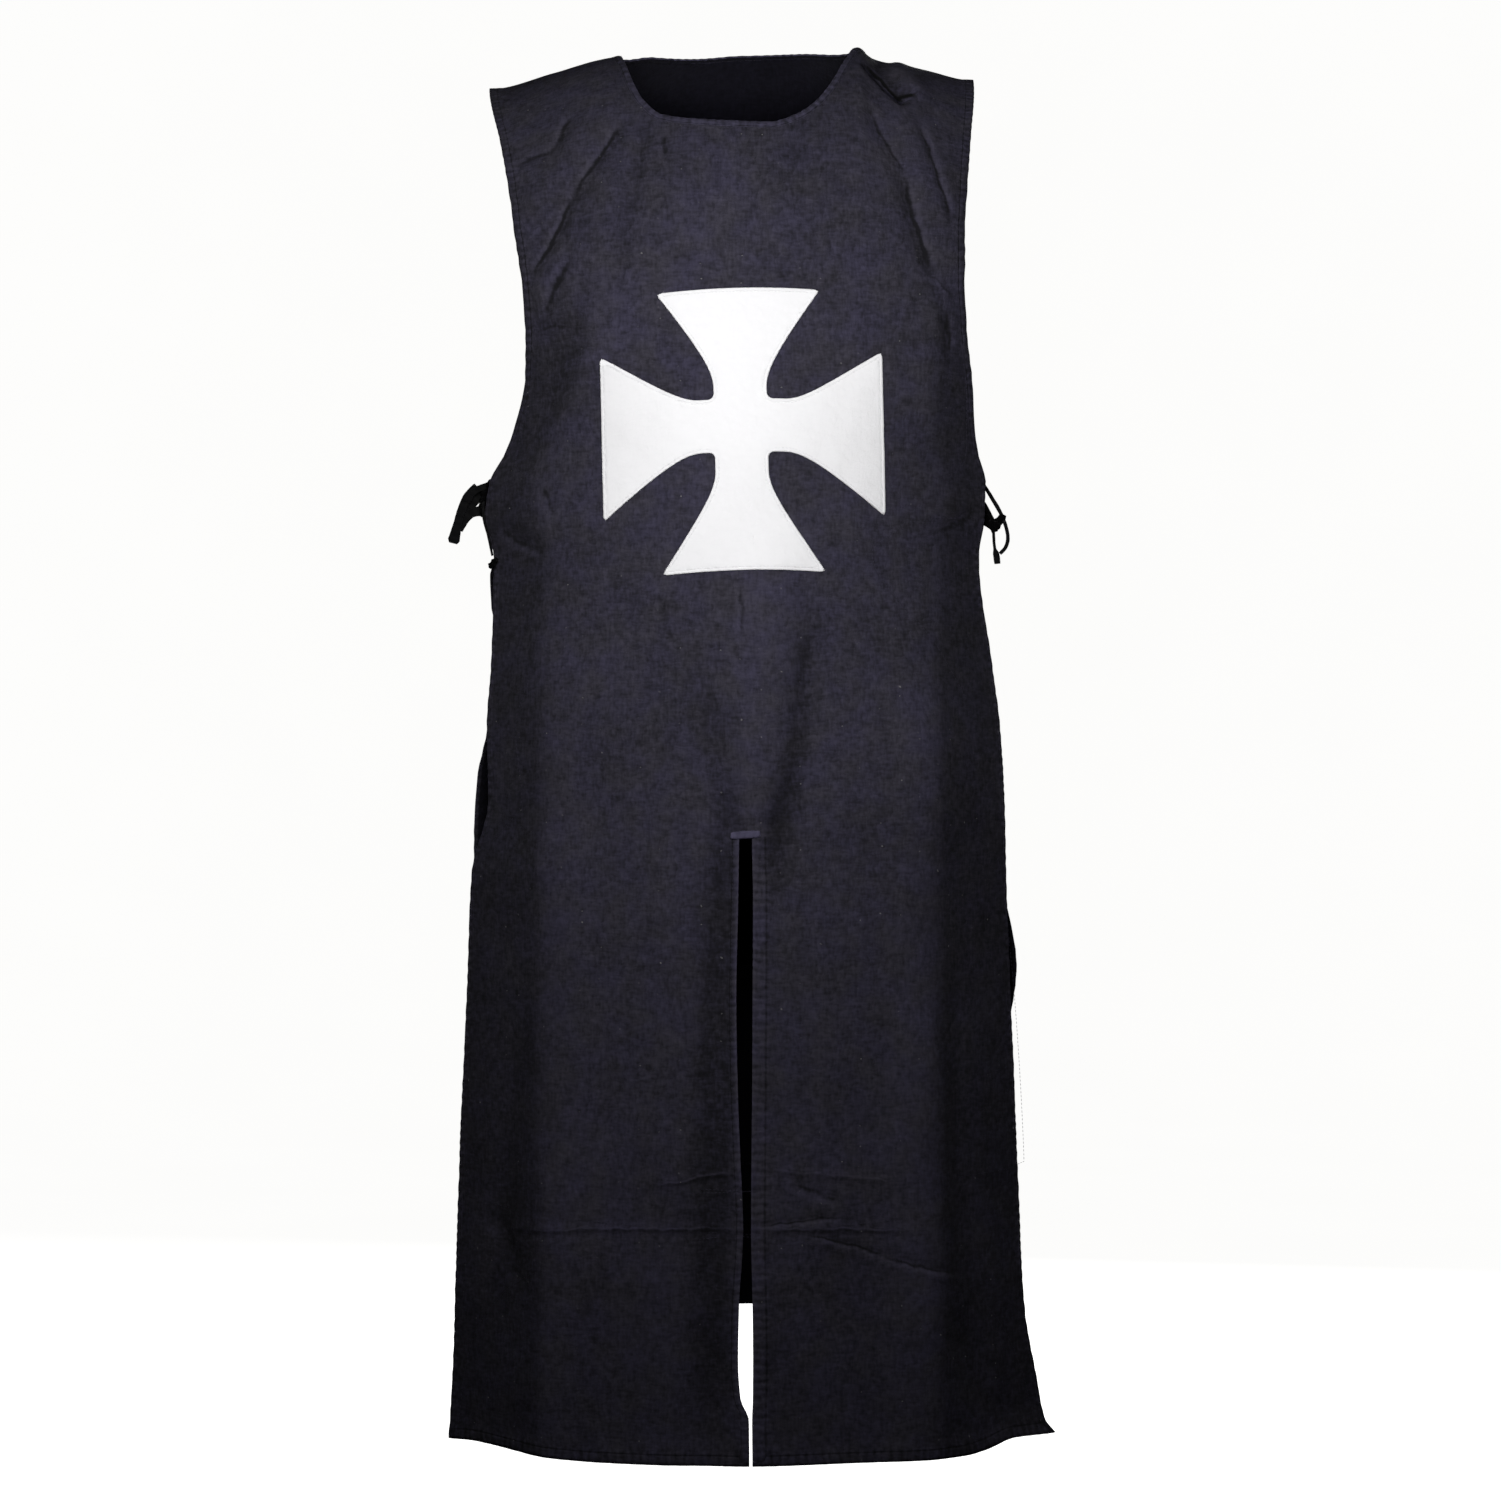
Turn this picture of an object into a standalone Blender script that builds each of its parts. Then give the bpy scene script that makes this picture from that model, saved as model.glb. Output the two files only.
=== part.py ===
"""Medieval surcoat, worn: a front and a back panel joined at the shoulders, tied at the waist.

Metres, +Z up. The front faces -Y. The origin lies between the two neck points of the shoulder
seams, where the wearer's shoulders carry the cloth.
"""

from collections import namedtuple
from math import acos, asin, ceil, cos, exp, pi, radians, sin, sqrt

import bmesh
import bpy
from mathutils import Matrix, Vector

NAME = "medieval_surcoat"

# Cloth colours
BLACK = (0.010, 0.009, 0.014)
WHITE = (0.86, 0.85, 0.82)

# Cloth and seams
WALL = 0.0016
SHOULDER_EDGE_GAP = 0.0004
BINDING_GAP = 0.0006

# How the cloth rounds over the shoulders: each panel's arc, and where the shoulders' slope has gone
FRONT_REACH = 0.16
BACK_REACH = 0.12
RIDGE_FADE = 0.20
SHOULDER_HALF = 0.213

# The folds begin a little way down from the shoulder seams, and each fades out past its two ends
# over a share of its length
FOLD_START = 0.03
FOLD_TAIL = 0.2

# The first row of a panel's mesh lies close to its top edge
SEAM_ROW = 0.005

# How far down the columns, close together round the neck, have spread out evenly
COLUMN_SPREAD = 0.26

# How finely places are worked out: the steps by which slopes are taken, the rounds by which a height
# is found, and the fine steps that an edge or a route is evened out from
SLOPE_STEP_ACROSS = 0.004
SLOPE_STEP_DOWN = 0.002
HEIGHT_ROUNDS = 12
EDGE_FINE_STEPS = 240
ROUTE_FINE_STEPS = 16

# Each panel folds back along an upright line near its sides: how steeply the cloth goes back past it,
# the most of the depth that it takes up, and how soft the fold is
SIDE_FOLD_SLOPE = 1.10
SIDE_FOLD_MOST = 0.80
SIDE_FOLD_SOFT = 0.004

# Neck points of the shoulder seams
NECK_LEFT = -0.108
NECK_RIGHT = 0.101

# Half of the centre strip that a slit is cut out of, and how far above the slit the strip bends to it
BRIDGE_HALF = 0.0062
SLIT_BEND = 0.10

# Cross: its middle, how far each arm reaches (up, to -X, down, to +X), half an arm's width in the
# middle and at its end, the length over which it flares, how much it widens each way past its bend,
# how soft that bend is, its lean, and how far the ends of the side arms have sunk with the cloth
CROSS_X = -0.0006
CROSS_Z = -0.3340
CROSS_REACHES = (0.1175, 0.1195, 0.1240, 0.1230)
CROSS_WAIST_HALF = 0.0228
CROSS_END_HALF = 0.0685
CROSS_FLARE_LENGTH = 0.0853
CROSS_FLARE_SLOPE = 0.735
CROSS_BEND = 0.0171
CROSS_TILT = radians(1.4)
CROSS_SAG = 0.0095
CROSS_LIFT = 0.0011
CROSS_THICK = 0.0010
CROSS_COLUMNS = 8
CROSS_ROWS = 10

# Neck binding
BINDING_WIDTH = 0.0060
BINDING_WIDE_END = 0.0085
BINDING_WIDE_FROM = 0.86
BINDING_PROUD = 0.0004
BINDING_THICK = 0.0022

# Ties: a step along one is this many of its radii, and a knot takes up the middle of its route
TIE_RADIUS = 0.0015
BOW_RADIUS = 0.0026
TIE_STEP = 2.5
KNOT_SWELL = 2.6
KNOT_SHARE = 0.3
KNOT_TAPER = 0.3

# One level of a panel. left and right are the half widths, mid and edge are how far the middle and
# the side edges stand from the side plane, turn is how far the edge rounds the side (degrees), and
# square is 1 for a plain arc and less for a flatter front with tighter sides.
Section = namedtuple("Section", "z left right mid edge turn square")
FRONT_SECTIONS = (
    Section(0.000, 0.2240, 0.2040, 0.102, 0.056, 52, 0.95),
    Section(-0.027, 0.2226, 0.2036, 0.103, 0.058, 53, 0.94),
    Section(-0.081, 0.2105, 0.1987, 0.106, 0.064, 56, 0.90),
    Section(-0.125, 0.2015, 0.1945, 0.109, 0.067, 59, 0.86),
    Section(-0.170, 0.1946, 0.1914, 0.111, 0.068, 62, 0.82),
    Section(-0.250, 0.1876, 0.1945, 0.114, 0.058, 70, 0.74),
    Section(-0.290, 0.1890, 0.2002, 0.115, 0.046, 76, 0.70),
    Section(-0.330, 0.1998, 0.2035, 0.115, 0.030, 82, 0.66),
    Section(-0.352, 0.2085, 0.2070, 0.115, 0.020, 85, 0.64),
    Section(-0.375, 0.2215, 0.2135, 0.114, 0.0125, 88, 0.62),
    Section(-0.412, 0.2258, 0.2125, 0.113, 0.0120, 90, 0.60),
    Section(-0.442, 0.2175, 0.2085, 0.113, 0.0130, 90, 0.60),
    Section(-0.535, 0.2205, 0.2199, 0.115, 0.0190, 90, 0.60),
    Section(-0.590, 0.2237, 0.2264, 0.117, 0.0230, 90, 0.60),
    Section(-0.655, 0.2215, 0.2290, 0.120, 0.0270, 90, 0.60),
    Section(-0.720, 0.2369, 0.2312, 0.123, 0.0210, 90, 0.60),
    Section(-0.800, 0.2410, 0.2350, 0.127, 0.0160, 90, 0.60),
    Section(-0.970, 0.2475, 0.2416, 0.132, 0.0210, 90, 0.62),
    Section(-1.090, 0.2507, 0.2463, 0.136, 0.0280, 88, 0.64),
    Section(-1.160, 0.2529, 0.2573, 0.138, 0.0310, 85, 0.66),
    Section(-1.195, 0.2548, 0.2640, 0.139, 0.0325, 83, 0.68),
    Section(-1.212, 0.2563, 0.2765, 0.140, 0.0340, 80, 0.70),
    Section(-1.230, 0.2572, 0.2860, 0.140, 0.0340, 80, 0.70),
)
BACK_SECTIONS = (
    Section(0.000, 0.2240, 0.2040, 0.100, 0.050, 52, 0.95),
    Section(-0.027, 0.2226, 0.2036, 0.102, 0.052, 53, 0.94),
    Section(-0.081, 0.2120, 0.2000, 0.108, 0.058, 56, 0.90),
    Section(-0.170, 0.1970, 0.1950, 0.110, 0.060, 62, 0.82),
    Section(-0.250, 0.1890, 0.1950, 0.106, 0.052, 70, 0.76),
    Section(-0.330, 0.1990, 0.2030, 0.100, 0.030, 82, 0.68),
    Section(-0.375, 0.2180, 0.2115, 0.096, 0.0125, 88, 0.64),
    Section(-0.412, 0.2210, 0.2100, 0.094, 0.0120, 90, 0.62),
    Section(-0.442, 0.2195, 0.2090, 0.093, 0.0130, 90, 0.62),
    Section(-0.455, 0.2230, 0.2100, 0.093, 0.0136, 90, 0.62),
    Section(-0.480, 0.2224, 0.2118, 0.093, 0.0146, 90, 0.62),
    Section(-0.498, 0.2200, 0.2132, 0.093, 0.0154, 90, 0.62),
    Section(-0.590, 0.2255, 0.2240, 0.096, 0.0190, 90, 0.62),
    Section(-0.636, 0.2345, 0.2262, 0.099, 0.0155, 90, 0.62),
    Section(-0.675, 0.2372, 0.2280, 0.101, 0.0160, 90, 0.62),
    Section(-0.720, 0.2378, 0.2300, 0.104, 0.0170, 90, 0.62),
    Section(-0.805, 0.2400, 0.2440, 0.109, 0.0220, 90, 0.62),
    Section(-0.870, 0.2425, 0.2370, 0.113, 0.0260, 90, 0.62),
    Section(-0.970, 0.2460, 0.2400, 0.118, 0.0240, 90, 0.64),
    Section(-1.100, 0.2500, 0.2500, 0.124, 0.0180, 88, 0.66),
    Section(-1.230, 0.2550, 0.2600, 0.130, 0.0240, 84, 0.68),
)

# The line over the shoulders where front and back meet. Between the neck points it is only where
# the cloth would run if the neck weren't cut out.
Level = namedtuple("Level", "x z")
FRONT_RIDGE = (
    Level(-0.2230, -0.0285), Level(-0.1650, -0.0140), Level(NECK_LEFT, 0.0000), Level(0.0000, 0.0060),
    Level(NECK_RIGHT, 0.0070), Level(0.1160, -0.0018), Level(0.1600, -0.0115), Level(0.2040, -0.0212),
)
BACK_RIDGE = (
    Level(-0.2230, -0.0285), Level(-0.1650, -0.0140), Level(NECK_LEFT, 0.0000), Level(-0.0500, 0.0290),
    Level(0.0000, 0.0400), Level(0.0500, 0.0350), Level(NECK_RIGHT, 0.0070), Level(0.1160, -0.0018),
    Level(0.1600, -0.0115), Level(0.2040, -0.0212),
)
FRONT_NECK = (
    Level(NECK_LEFT, 0.0000), Level(-0.1024, -0.0105), Level(-0.0938, -0.0330), Level(-0.0848, -0.0495),
    Level(-0.0690, -0.0632), Level(-0.0490, -0.0669), Level(0.0000, -0.0702), Level(0.0252, -0.0709),
    Level(0.0476, -0.0633), Level(0.0651, -0.0498), Level(0.0784, -0.0314), Level(0.0890, -0.0110),
    Level(NECK_RIGHT, 0.0070),
)
BACK_NECK = (
    Level(NECK_LEFT, 0.0000), Level(-0.0800, 0.0061), Level(-0.0380, 0.0087), Level(0.0000, 0.0120),
    Level(0.0520, 0.0123), Level(NECK_RIGHT, 0.0070),
)

# The hem's height across a panel.
FRONT_HEM = (
    Level(-0.2580, -1.2130), Level(-0.2330, -1.2112), Level(-0.1800, -1.2146), Level(-0.1240, -1.2175),
    Level(0.0000, -1.2190), Level(0.0870, -1.2173), Level(0.1880, -1.2170), Level(0.2080, -1.2147),
    Level(0.2440, -1.2076), Level(0.2780, -1.2083),
)
BACK_HEM = (
    Level(-0.2560, -1.2140), Level(-0.1300, -1.2185), Level(0.0300, -1.2190), Level(0.1500, -1.2165),
    Level(0.2600, -1.2110),
)

# The two edges of a slit, from its top down.
SlitLevel = namedtuple("SlitLevel", "z left right")
FRONT_SLIT = (
    SlitLevel(-0.6850, -0.0024, 0.0087), SlitLevel(-0.7390, -0.0032, 0.0096),
    SlitLevel(-0.8240, -0.0049, 0.0092), SlitLevel(-0.9100, -0.0032, 0.0088),
    SlitLevel(-0.9520, -0.0015, 0.0083), SlitLevel(-1.0200, 0.0012, 0.0079),
    SlitLevel(-1.0850, -0.0024, 0.0092), SlitLevel(-1.1300, -0.0032, 0.0096),
    SlitLevel(-1.1620, -0.0010, 0.0094), SlitLevel(-1.1800, 0.0062, 0.0088),
    SlitLevel(-1.2300, 0.0066, 0.0092),
)
BACK_VENT = (
    SlitLevel(-1.1180, -0.0100, 0.0150), SlitLevel(-1.1600, -0.0110, 0.0165),
    SlitLevel(-1.2300, -0.0140, 0.0200),
)

# How far out the two side folds lie at a height, and how much of them there is.
SideFold = namedtuple("SideFold", "z left right share")
SIDE_FOLDS = (
    SideFold(-0.205, 0.122, 0.160, 0.00), SideFold(-0.255, 0.130, 0.166, 0.85),
    SideFold(-0.294, 0.146, 0.165, 1.00), SideFold(-0.337, 0.161, 0.166, 1.00),
    SideFold(-0.381, 0.178, 0.172, 1.00), SideFold(-0.450, 0.166, 0.170, 1.00),
    SideFold(-0.520, 0.171, 0.167, 1.00), SideFold(-1.230, 0.171, 0.167, 1.00),
)

# A fold runs from (x0, z0) to (x1, z1), bowed sideways by bow. A ridge has height over 0.
Fold = namedtuple("Fold", "name x0 z0 x1 z1 bow width height")
FRONT_FOLDS = (
    Fold("left shoulder trough", -0.102, -0.072, -0.182, -0.196, 0.002, 0.012, -0.0026),
    Fold("left shoulder ridge", -0.122, -0.066, -0.190, -0.165, 0.000, 0.014, 0.0026),
    Fold("right shoulder trough", 0.114, -0.060, 0.166, -0.210, -0.004, 0.012, -0.0024),
    Fold("right shoulder ridge", 0.135, -0.060, 0.188, -0.190, 0.000, 0.014, 0.0024),
    Fold("right neck pinch", 0.118, -0.006, 0.142, -0.044, 0.000, 0.009, -0.0060),
    Fold("right neck stand", 0.130, -0.008, 0.158, -0.044, 0.000, 0.011, 0.0045),
    Fold("left armhole", -0.128, -0.240, -0.160, -0.325, 0.000, 0.014, 0.0020),
    Fold("centre ridge", 0.020, -0.460, 0.004, -0.675, 0.000, 0.026, 0.0065),
    Fold("right of the centre", 0.062, -0.500, 0.030, -0.720, 0.000, 0.014, -0.0065),
    Fold("left of the centre", -0.030, -0.560, -0.010, -0.690, 0.000, 0.014, -0.0045),
    Fold("left skirt", -0.150, -0.560, -0.160, -1.190, -0.006, 0.022, 0.0030),
    Fold("left of the slit", -0.016, -0.700, -0.036, -1.200, 0.000, 0.018, -0.0060),
    Fold("right skirt", 0.148, -0.520, 0.156, -1.180, 0.005, 0.022, 0.0030),
    Fold("right skirt hollow", 0.100, -0.860, 0.106, -1.215, 0.000, 0.024, -0.0016),
)
BACK_FOLDS = (
    Fold("left shoulder trough", -0.100, -0.060, -0.176, -0.205, 0.000, 0.014, -0.0050),
    Fold("right shoulder trough", 0.104, -0.055, 0.172, -0.190, 0.000, 0.014, -0.0055),
    Fold("left waist", -0.190, -0.385, -0.095, -0.520, 0.006, 0.016, -0.0045),
    Fold("right waist", 0.185, -0.390, 0.100, -0.500, -0.006, 0.016, -0.0045),
    Fold("centre ridge", -0.012, -0.430, 0.004, -1.080, 0.006, 0.030, 0.0070),
    Fold("left skirt hollow", -0.078, -0.560, -0.092, -1.200, 0.004, 0.024, -0.0070),
    Fold("left skirt", -0.140, -0.600, -0.158, -1.205, 0.000, 0.024, 0.0065),
    Fold("right skirt hollow", 0.070, -0.620, 0.088, -1.195, -0.004, 0.024, -0.0070),
    Fold("right skirt", 0.134, -0.560, 0.156, -1.190, 0.000, 0.026, 0.0065),
)

# A panel's mesh: its columns on each shoulder and from each neck point to the centre strip, and
# its rows down to the slit and below.
Mesh = namedtuple("Mesh", "shoulder neck above below")
FRONT_MESH = Mesh(shoulder=7, neck=11, above=24, below=15)
BACK_MESH = Mesh(shoulder=6, neck=8, above=28, below=4)

# Routes of the ties, each a list of places in order from the cloth.
LEFT_KNOT_ROUTE = (
    (-0.2201, -0.0122, -0.3746), (-0.2222, -0.0080, -0.3750), (-0.2272, 0.0000, -0.3850),
    (-0.2192, 0.0080, -0.3750), (-0.2184, 0.0106, -0.3740),
)
LEFT_LOOP_ROUTE = (
    (-0.2336, -0.0024, -0.3790), (-0.2376, -0.0036, -0.3830), (-0.2424, -0.0046, -0.3888),
    (-0.2459, -0.0054, -0.3968), (-0.2486, -0.0060, -0.4050), (-0.2508, -0.0062, -0.4135),
    (-0.2530, -0.0058, -0.4223), (-0.2548, -0.0050, -0.4293),
)
LEFT_END_ROUTE = (
    (-0.2284, -0.0008, -0.3900), (-0.2280, -0.0070, -0.3980), (-0.2266, -0.0150, -0.4095),
    (-0.2228, -0.0192, -0.4230), (-0.2190, -0.0212, -0.4410),
)
LEFT_END_KNOT = (-0.2181, -0.0222, -0.4475)
END_KNOT_HALF = (0.0046, 0.0040, 0.0056)
RIGHT_KNOT_ROUTE = (
    (0.2130, -0.0104, -0.3940), (0.2138, -0.0078, -0.3950), (0.2222, 0.0000, -0.4105),
    (0.2116, 0.0078, -0.3950), (0.2108, 0.0102, -0.3940),
)
RIGHT_LOOP_ROUTE = (
    (0.2122, 0.0104, -0.3748), (0.2134, 0.0084, -0.3762), (0.2202, 0.0050, -0.3874),
    (0.2267, 0.0012, -0.3988), (0.2316, -0.0020, -0.4102), (0.2345, -0.0040, -0.4231),
    (0.2328, -0.0036, -0.4323), (0.2277, -0.0020, -0.4383),
)
RIGHT_END_ROUTE = (
    (0.2222, 0.0005, -0.4152), (0.2223, 0.0015, -0.4209), (0.2227, 0.0025, -0.4280),
    (0.2234, 0.0032, -0.4337), (0.2249, 0.0038, -0.4395), (0.2258, 0.0042, -0.4470),
)


def smooth(q):
    """An S curve from 0 to 1."""
    q = min(max(q, 0.0), 1.0)
    return q * q * (3.0 - 2.0 * q)


def read(table, key, at, column):
    """A column of a table at any place along its key, on a smooth curve through the rows."""
    keys = [getattr(row, key) for row in table]
    values = [getattr(row, column) for row in table]
    if keys[0] > keys[-1]:
        keys.reverse()
        values.reverse()
    if at <= keys[0]:
        return values[0]
    if at >= keys[-1]:
        return values[-1]
    i = max(k for k in range(len(keys) - 1) if keys[k] <= at)
    step = keys[i + 1] - keys[i]
    q = (at - keys[i]) / step

    def slope(k):
        if k == 0 or k == len(keys) - 1:
            return 0.0
        before = (values[k] - values[k - 1]) / (keys[k] - keys[k - 1])
        after = (values[k + 1] - values[k]) / (keys[k + 1] - keys[k])
        if before * after <= 0.0:
            return 0.0
        return 2.0 * before * after / (before + after)

    a = values[i] + (values[i + 1] - values[i]) * (3 * q * q - 2 * q ** 3)
    return a + step * (slope(i) * (q ** 3 - 2 * q * q + q) + slope(i + 1) * (q ** 3 - q * q))


def fold_height(folds, x, z):
    """How far the folds lift the cloth at (x, z)."""
    height = 0.0
    for fold in folds:
        run = Vector((fold.x1 - fold.x0, fold.z1 - fold.z0))
        out = Vector((x - fold.x0, z - fold.z0))
        q = out.dot(run) / run.length_squared
        if not -FOLD_TAIL < q < 1.0 + FOLD_TAIL:
            continue
        across = (out.x * run.y - out.y * run.x) / run.length
        across -= 4.0 * fold.bow * q * (1.0 - q)
        ends = smooth(0.5 + 0.5 * q / FOLD_TAIL) * smooth(0.5 + 0.5 * (1.0 - q) / FOLD_TAIL)
        height += fold.height * ends * exp(-((across / fold.width) ** 2))
    return height


def folded_depth(x, level, half):
    """How far the cloth stands from the side plane where it folds back along its sides."""
    fold = read(SIDE_FOLDS, "z", level.z, "right" if x > 0.0 else "left")
    slope = min(SIDE_FOLD_SLOPE, SIDE_FOLD_MOST * (level.mid - level.edge) / (half - fold))
    at_fold = level.edge + slope * (half - fold)
    front = level.mid - (level.mid - at_fold) * (x / fold) ** 2
    back = level.edge + slope * (half - abs(x))
    return 0.5 * (front + back - sqrt((front - back) ** 2 + SIDE_FOLD_SOFT ** 2))


class Panel:
    """One shaped panel.

    A place on it has t, which runs across from -1 to 1, and way, which runs down the cloth: over
    the shoulder on an arc of the panel's reach, then straight down.
    """

    def __init__(self, side, sections, ridge, neck, hem, folds, reach):
        self.side = side
        self.sections = sections
        self.ridge = ridge
        self.neck = neck
        self.hem = hem
        self.folds = folds
        self.reach = reach

    def drop(self, way):
        arc = 0.5 * pi * self.reach
        return self.reach * (1.0 - cos(way / self.reach)) if way < arc else self.reach + way - arc

    def way(self, drop):
        arc = 0.5 * pi * self.reach
        return self.reach * acos(1.0 - drop / self.reach) if drop < self.reach else arc + drop - self.reach

    def height(self, x, drop):
        return read(self.ridge, "x", x, "z") * (1.0 - smooth(drop / RIDGE_FADE)) - drop

    def way_at(self, x, z):
        """The way down to height z at x."""
        drop = max(-z, 0.0)
        for _ in range(HEIGHT_ROUNDS):
            drop = max(read(self.ridge, "x", x, "z") * (1.0 - smooth(drop / RIDGE_FADE)) - z, 0.0)
        return self.way(drop)

    def section(self, z):
        return Section(z, *(read(self.sections, "z", z, column) for column in Section._fields[1:]))

    def plain_point(self, t, way):
        """The panel without its folds."""
        drop = self.drop(way)
        level = self.section(self.height(t * SHOULDER_HALF, drop))
        half = level.right if t > 0.0 else level.left
        turn = radians(level.turn)
        x = half * sin(turn * t) / sin(turn)
        round_away = max((cos(turn * t) - cos(turn)) / (1.0 - cos(turn)), 0.0) ** level.square
        depth = level.edge + (level.mid - level.edge) * round_away
        share = read(SIDE_FOLDS, "z", level.z, "share")
        depth += (folded_depth(x, level, half) - depth) * share
        over = sin(min(way / self.reach, 0.5 * pi))
        return Vector((x, self.side * (SHOULDER_EDGE_GAP + over * depth), self.height(x, drop)))

    def slopes(self, t, way):
        """How the place changes with t and with way."""
        low_t, high_t = max(t - SLOPE_STEP_ACROSS, -1.0), min(t + SLOPE_STEP_ACROSS, 1.0)
        low_way, high_way = max(way - SLOPE_STEP_DOWN, 0.0), way + SLOPE_STEP_DOWN
        across = self.plain_point(high_t, way) - self.plain_point(low_t, way)
        down = self.plain_point(t, high_way) - self.plain_point(t, low_way)
        return across / (high_t - low_t), down / (high_way - low_way)

    def point(self, t, way, lift=0.0):
        """A place on the cloth with its folds, lifted off it by lift."""
        place = self.plain_point(t, way)
        across, down = self.slopes(t, way)
        normal = (down.cross(across) * -self.side).normalized()
        lift += fold_height(self.folds, place.x, place.z) * smooth(way / FOLD_START)
        return place + normal * lift

    def across_at(self, x, z):
        """t for a place seen from the front."""
        level = self.section(z)
        half = level.right if x > 0.0 else level.left
        turn = radians(level.turn)
        return asin(max(min(x / half * sin(turn), 1.0), -1.0)) / turn

    def point_at(self, x, z, lift=0.0):
        return self.point(self.across_at(x, z), self.way_at(x, z), lift)

    def hem_way(self, t):
        """The way down to the hem."""
        lowest = self.way(-min(level.z for level in self.hem))
        return self.way(-read(self.hem, "x", self.plain_point(t, lowest).x, "z"))

    def neck_places(self, count):
        """(t, way) round the neck edge, at even distances: count steps to the centre strip on
        each side, and one step across it."""
        fine = []
        for x in spread(NECK_LEFT, NECK_RIGHT, EDGE_FINE_STEPS):
            z = read(self.neck, "x", x, "z")
            fine.append((x, self.across_at(x, z), self.way_at(x, z)))
        left = even_places(self, [row for row in fine if row[0] < -BRIDGE_HALF], count)
        return left + even_places(self, [row for row in fine if row[0] > BRIDGE_HALF], count)

    def inset(self, places, width_at):
        """The same places moved into the cloth, square to the edge, by width_at(share)."""
        moved = []
        last = len(places) - 1
        for i, (t, way) in enumerate(places):
            before, after = places[max(i - 1, 0)], places[min(i + 1, last)]
            run = self.plain_point(*after) - self.plain_point(*before)
            across, down = self.slopes(t, way)
            if i in (0, last):
                inward = across.normalized() * (1.0 if t > 0.0 else -1.0)
            else:
                inward = run.cross(down.cross(across)).normalized()
                inward *= 1.0 if inward.dot(down) > 0.0 else -1.0
            step = inward * width_at(i / last)
            dt = step.dot(across) / across.length_squared
            dw = (step - across * dt).dot(down) / down.length_squared
            moved.append((t + dt, way if i in (0, last) else max(way + dw, 0.0)))
        return moved


def even_places(panel, rows, count):
    """Places at even distances along the rows of a fine edge."""
    points = [panel.plain_point(t, way) for _, t, way in rows]
    lengths = [0.0]
    for a, b in zip(points, points[1:]):
        lengths.append(lengths[-1] + (b - a).length)
    places, k = [], 0
    for n in range(count + 1):
        want = lengths[-1] * n / count
        while k < len(rows) - 2 and lengths[k + 1] < want:
            k += 1
        q = (want - lengths[k]) / (lengths[k + 1] - lengths[k])
        places.append(tuple(a + (b - a) * q for a, b in zip(rows[k][1:], rows[k + 1][1:])))
    return places


FRONT = Panel(-1, FRONT_SECTIONS, FRONT_RIDGE, FRONT_NECK, FRONT_HEM, FRONT_FOLDS, FRONT_REACH)
BACK = Panel(1, BACK_SECTIONS, BACK_RIDGE, BACK_NECK, BACK_HEM, BACK_FOLDS, BACK_REACH)


def material(name, color, roughness):
    made = bpy.data.materials.new(name)
    made.use_nodes = True
    shader = made.node_tree.nodes["Principled BSDF"]
    shader.inputs["Base Color"].default_value = (*color, 1.0)
    shader.inputs["Roughness"].default_value = roughness
    shader.inputs["Metallic"].default_value = 0.0
    return made


def add_mesh(name, bm, color, roughness, collection):
    mesh = bpy.data.meshes.new(name)
    bm.to_mesh(mesh)
    bm.free()
    mesh.shade_smooth()
    made = bpy.data.objects.new(name, mesh)
    made.data.materials.append(material(name, color, roughness))
    collection.objects.link(made)
    return made


def thicken(made, thickness):
    """Gives the cloth its wall, inwards from its outer face where thickness is over 0."""
    wall = made.modifiers.new("Wall", "SOLIDIFY")
    wall.thickness = abs(thickness)
    wall.offset = -1.0 if thickness > 0.0 else 1.0
    wall.use_even_offset = False


def spread(low, high, count):
    return [low + (high - low) * k / count for k in range(count + 1)]


def binding_width(share):
    """The neck binding widens at the right neck point."""
    wide = smooth((share - BINDING_WIDE_FROM) / (1.0 - BINDING_WIDE_FROM))
    return BINDING_WIDTH + (BINDING_WIDE_END - BINDING_WIDTH) * wide


def top_places(panel, mesh):
    """(t, way) of each column's top: the shoulder seams, and the neck edge under its binding."""
    neck = panel.inset(panel.neck_places(mesh.neck), lambda share: binding_width(share) + BINDING_GAP)
    left = [(t, 0.0) for t in spread(-1.0, neck[0][0], mesh.shoulder)]
    right = [(t, 0.0) for t in spread(neck[-1][0], 1.0, mesh.shoulder)]
    return left[:-1] + neck + right[1:]


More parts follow.
